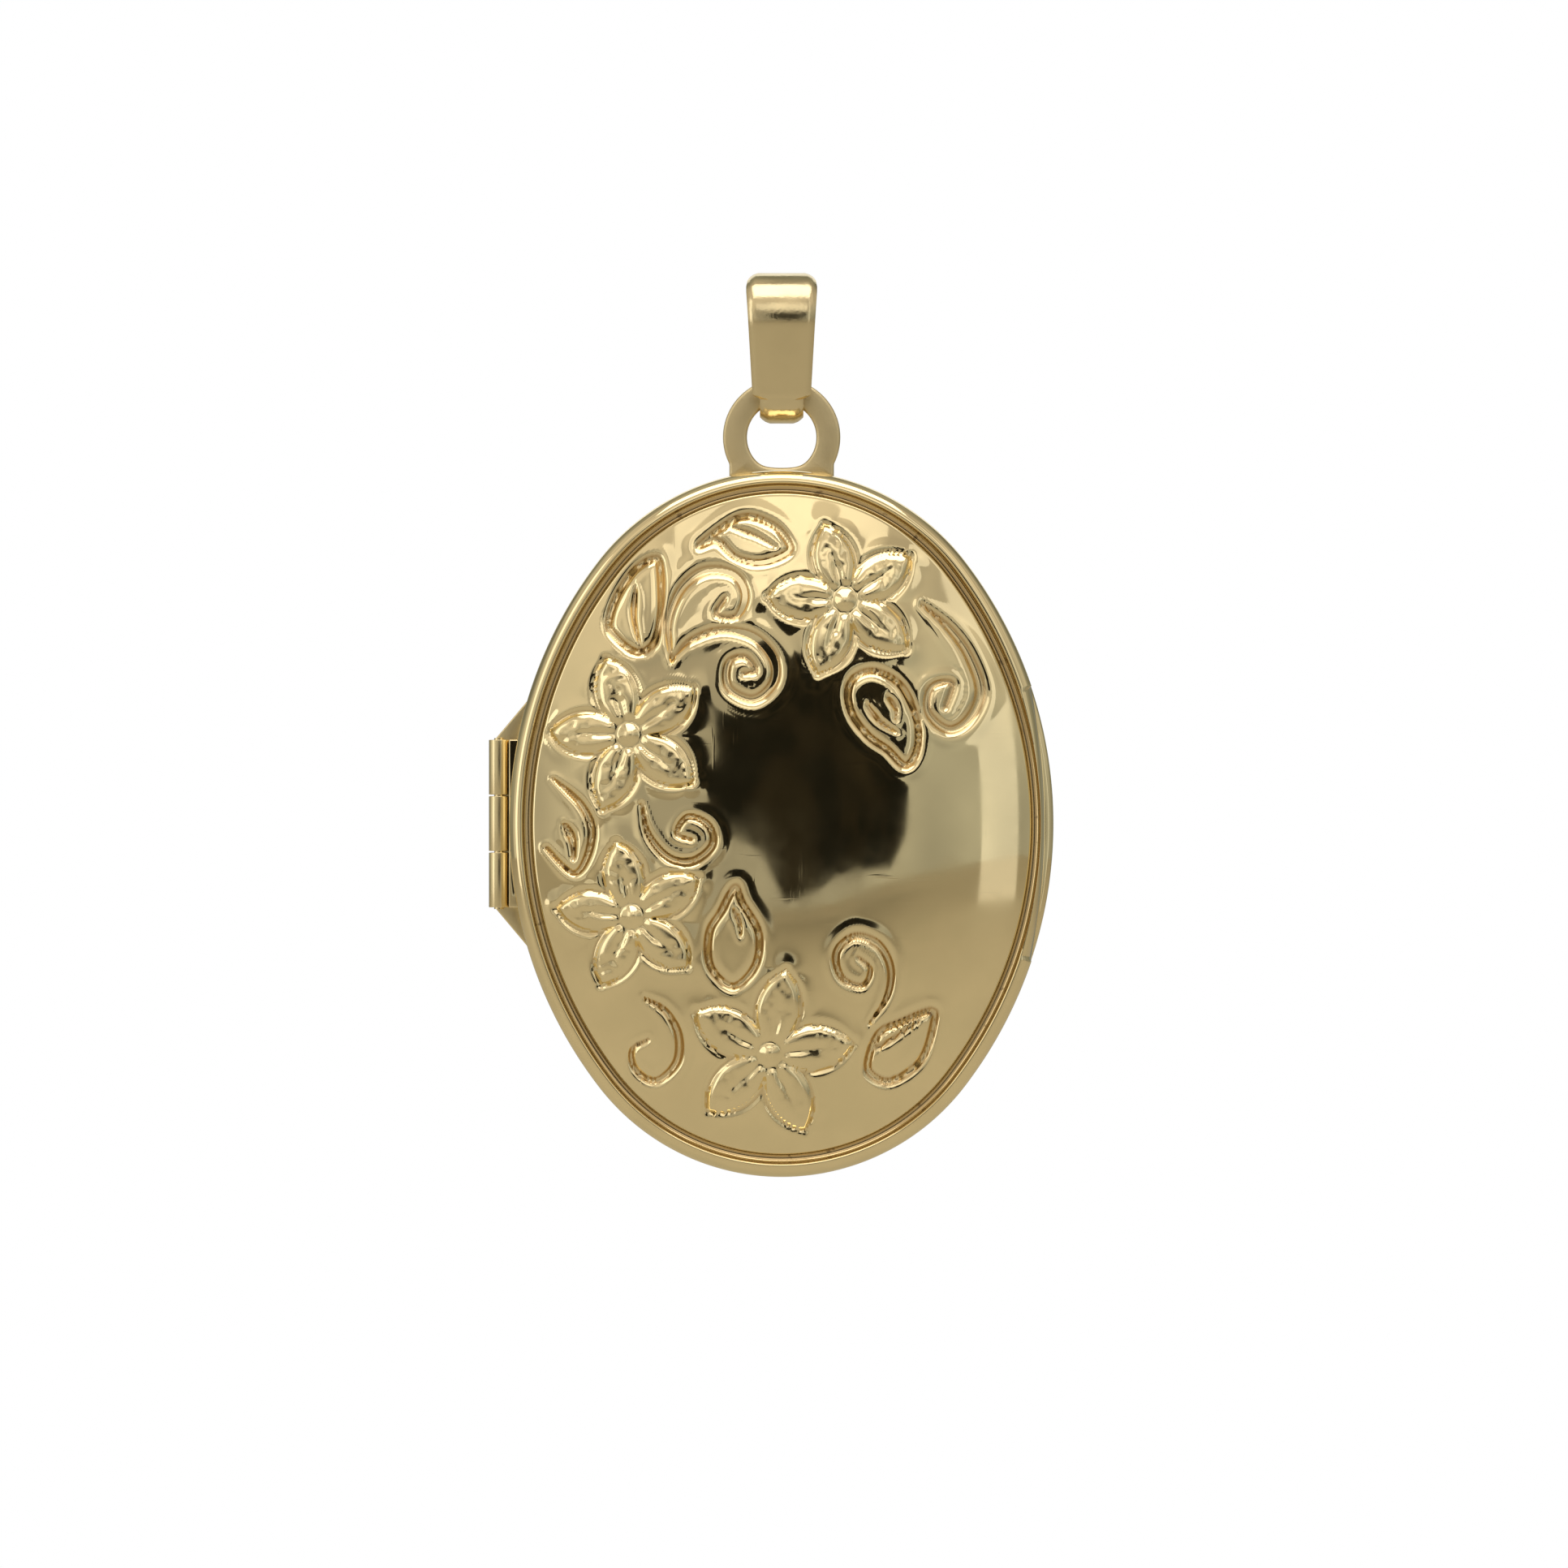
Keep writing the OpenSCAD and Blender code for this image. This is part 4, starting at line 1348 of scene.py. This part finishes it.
panel("light_above", (0.0, -0.10, 0.36), 0.46, 0.26, 1.7, (1.0, 0.97, 0.92))
panel("light_front", (0.0, -0.38, 0.20), 0.30, 0.13, 0.5, (1.0, 0.97, 0.92))
panel("light_right", (0.30, -0.36, 0.0), 0.08, 1.0, 0.38)
panel("light_left", (-0.42, -0.20, 0.05), 0.18, 0.50, 0.8, (1.0, 0.98, 0.94))
panel("light_behind", (0.0, 0.45, 0.20), 0.50, 0.30, 0.8)

# %% [markdown]
# The floor and the dark card are flat sheets of the stage. The floor is plain and pale, and
# wide enough that its edge isn't seen in the dome.

# %% Cards and the floor
FLOOR_Z = -0.085
FLOOR_HALF = 0.8


def stage_card(name, corners, colour, second, roughness):
    mesh = bpy.data.meshes.new(name)
    mesh.from_pydata(corners, [], [tuple(range(len(corners)))])
    material, tree, shader = new_material(name)
    cloud = map_range(tree, noise(tree, 14.0, 3.0), 0.45, 0.70, 0, 1)
    feed(tree, shader, {"Base Color": mix_colour(tree, cloud, colour, second),
                        "Roughness": roughness})
    mesh.materials.append(material)
    card = bpy.data.objects.new(name, mesh)
    scene.collection.objects.link(card)


floor_corners = [(x * FLOOR_HALF, y * FLOOR_HALF, FLOOR_Z)
                 for x, y in ((-1, -1), (1, -1), (1, 1), (-1, 1))]

# %% [markdown]
# The dark card stands behind the camera. Its outline is worked out backwards: for each point
# of the dome where the edge of its reflection should fall, a ray from the camera is reflected
# there, and the card's corner is where that ray meets the card's plane.

# %% The dark card
DARK_Y = -0.66
DARK_EDGE = [(-2.3, 4.7), (-0.3, 5.9), (2.0, 5.7), (4.1, 5.9), (4.6, 4.2), (4.3, 2.0), (4.2, -0.4),
             (3.7, -1.5), (1.8, -1.8), (0.1, -2.7), (-0.6, -1.0), (-1.9, -0.3), (-3.0, 1.2),
             (-2.2, 2.2), (-2.3, 3.6)]
HALVINGS = 40
SMALL = 0.01


def quarter_turns(x, y):
    return (math.atan2(y, x) / (math.pi / 2)) % 4


def dome_out(x, y):
    """How far out a point is on the dome, from 0 to 1."""
    low, high = 0.0, 4.0
    for _ in range(HALVINGS):
        middle = (low + high) / 2
        px, py = (float(side[0]) for side in oval_at(np.array([middle]), DOME_INSET))
        if quarter_turns(px, py) < quarter_turns(x, y):
            low = middle
        else:
            high = middle
    return math.hypot(x, y) / math.hypot(px, py)


def card_corner(x, z):
    """Where the camera's ray goes after it meets the dome."""
    level = [float(dome_height(dome_out(x + dx, z + dz)))
             for dx, dz in ((SMALL, 0), (-SMALL, 0), (0, SMALL), (0, -SMALL))]
    normal = Vector((level[1] - level[0], -2 * SMALL, level[3] - level[2])).normalized()
    place = Vector((x * MM, (part_y - dome_top) * MM, (case_z + z) * MM))
    ray = (place - camera.location).normalized()
    ray = ray - 2 * ray.dot(normal) * normal
    return tuple(place + ray * ((DARK_Y - place.y) / ray.y))


dark_corners = [card_corner(x, z) for x, z in DARK_EDGE]
stage_card("dark_card", dark_corners, (0.010, 0.010, 0.008, 1.0), (0.07, 0.055, 0.035, 1.0), 0.9)
stage_card("floor", floor_corners, (0.60, 0.57, 0.50, 1.0), (0.57, 0.55, 0.48, 1.0), 0.7)
print("dark card corners", [(round(c[0], 3), round(c[2], 3)) for c in dark_corners[::4]])
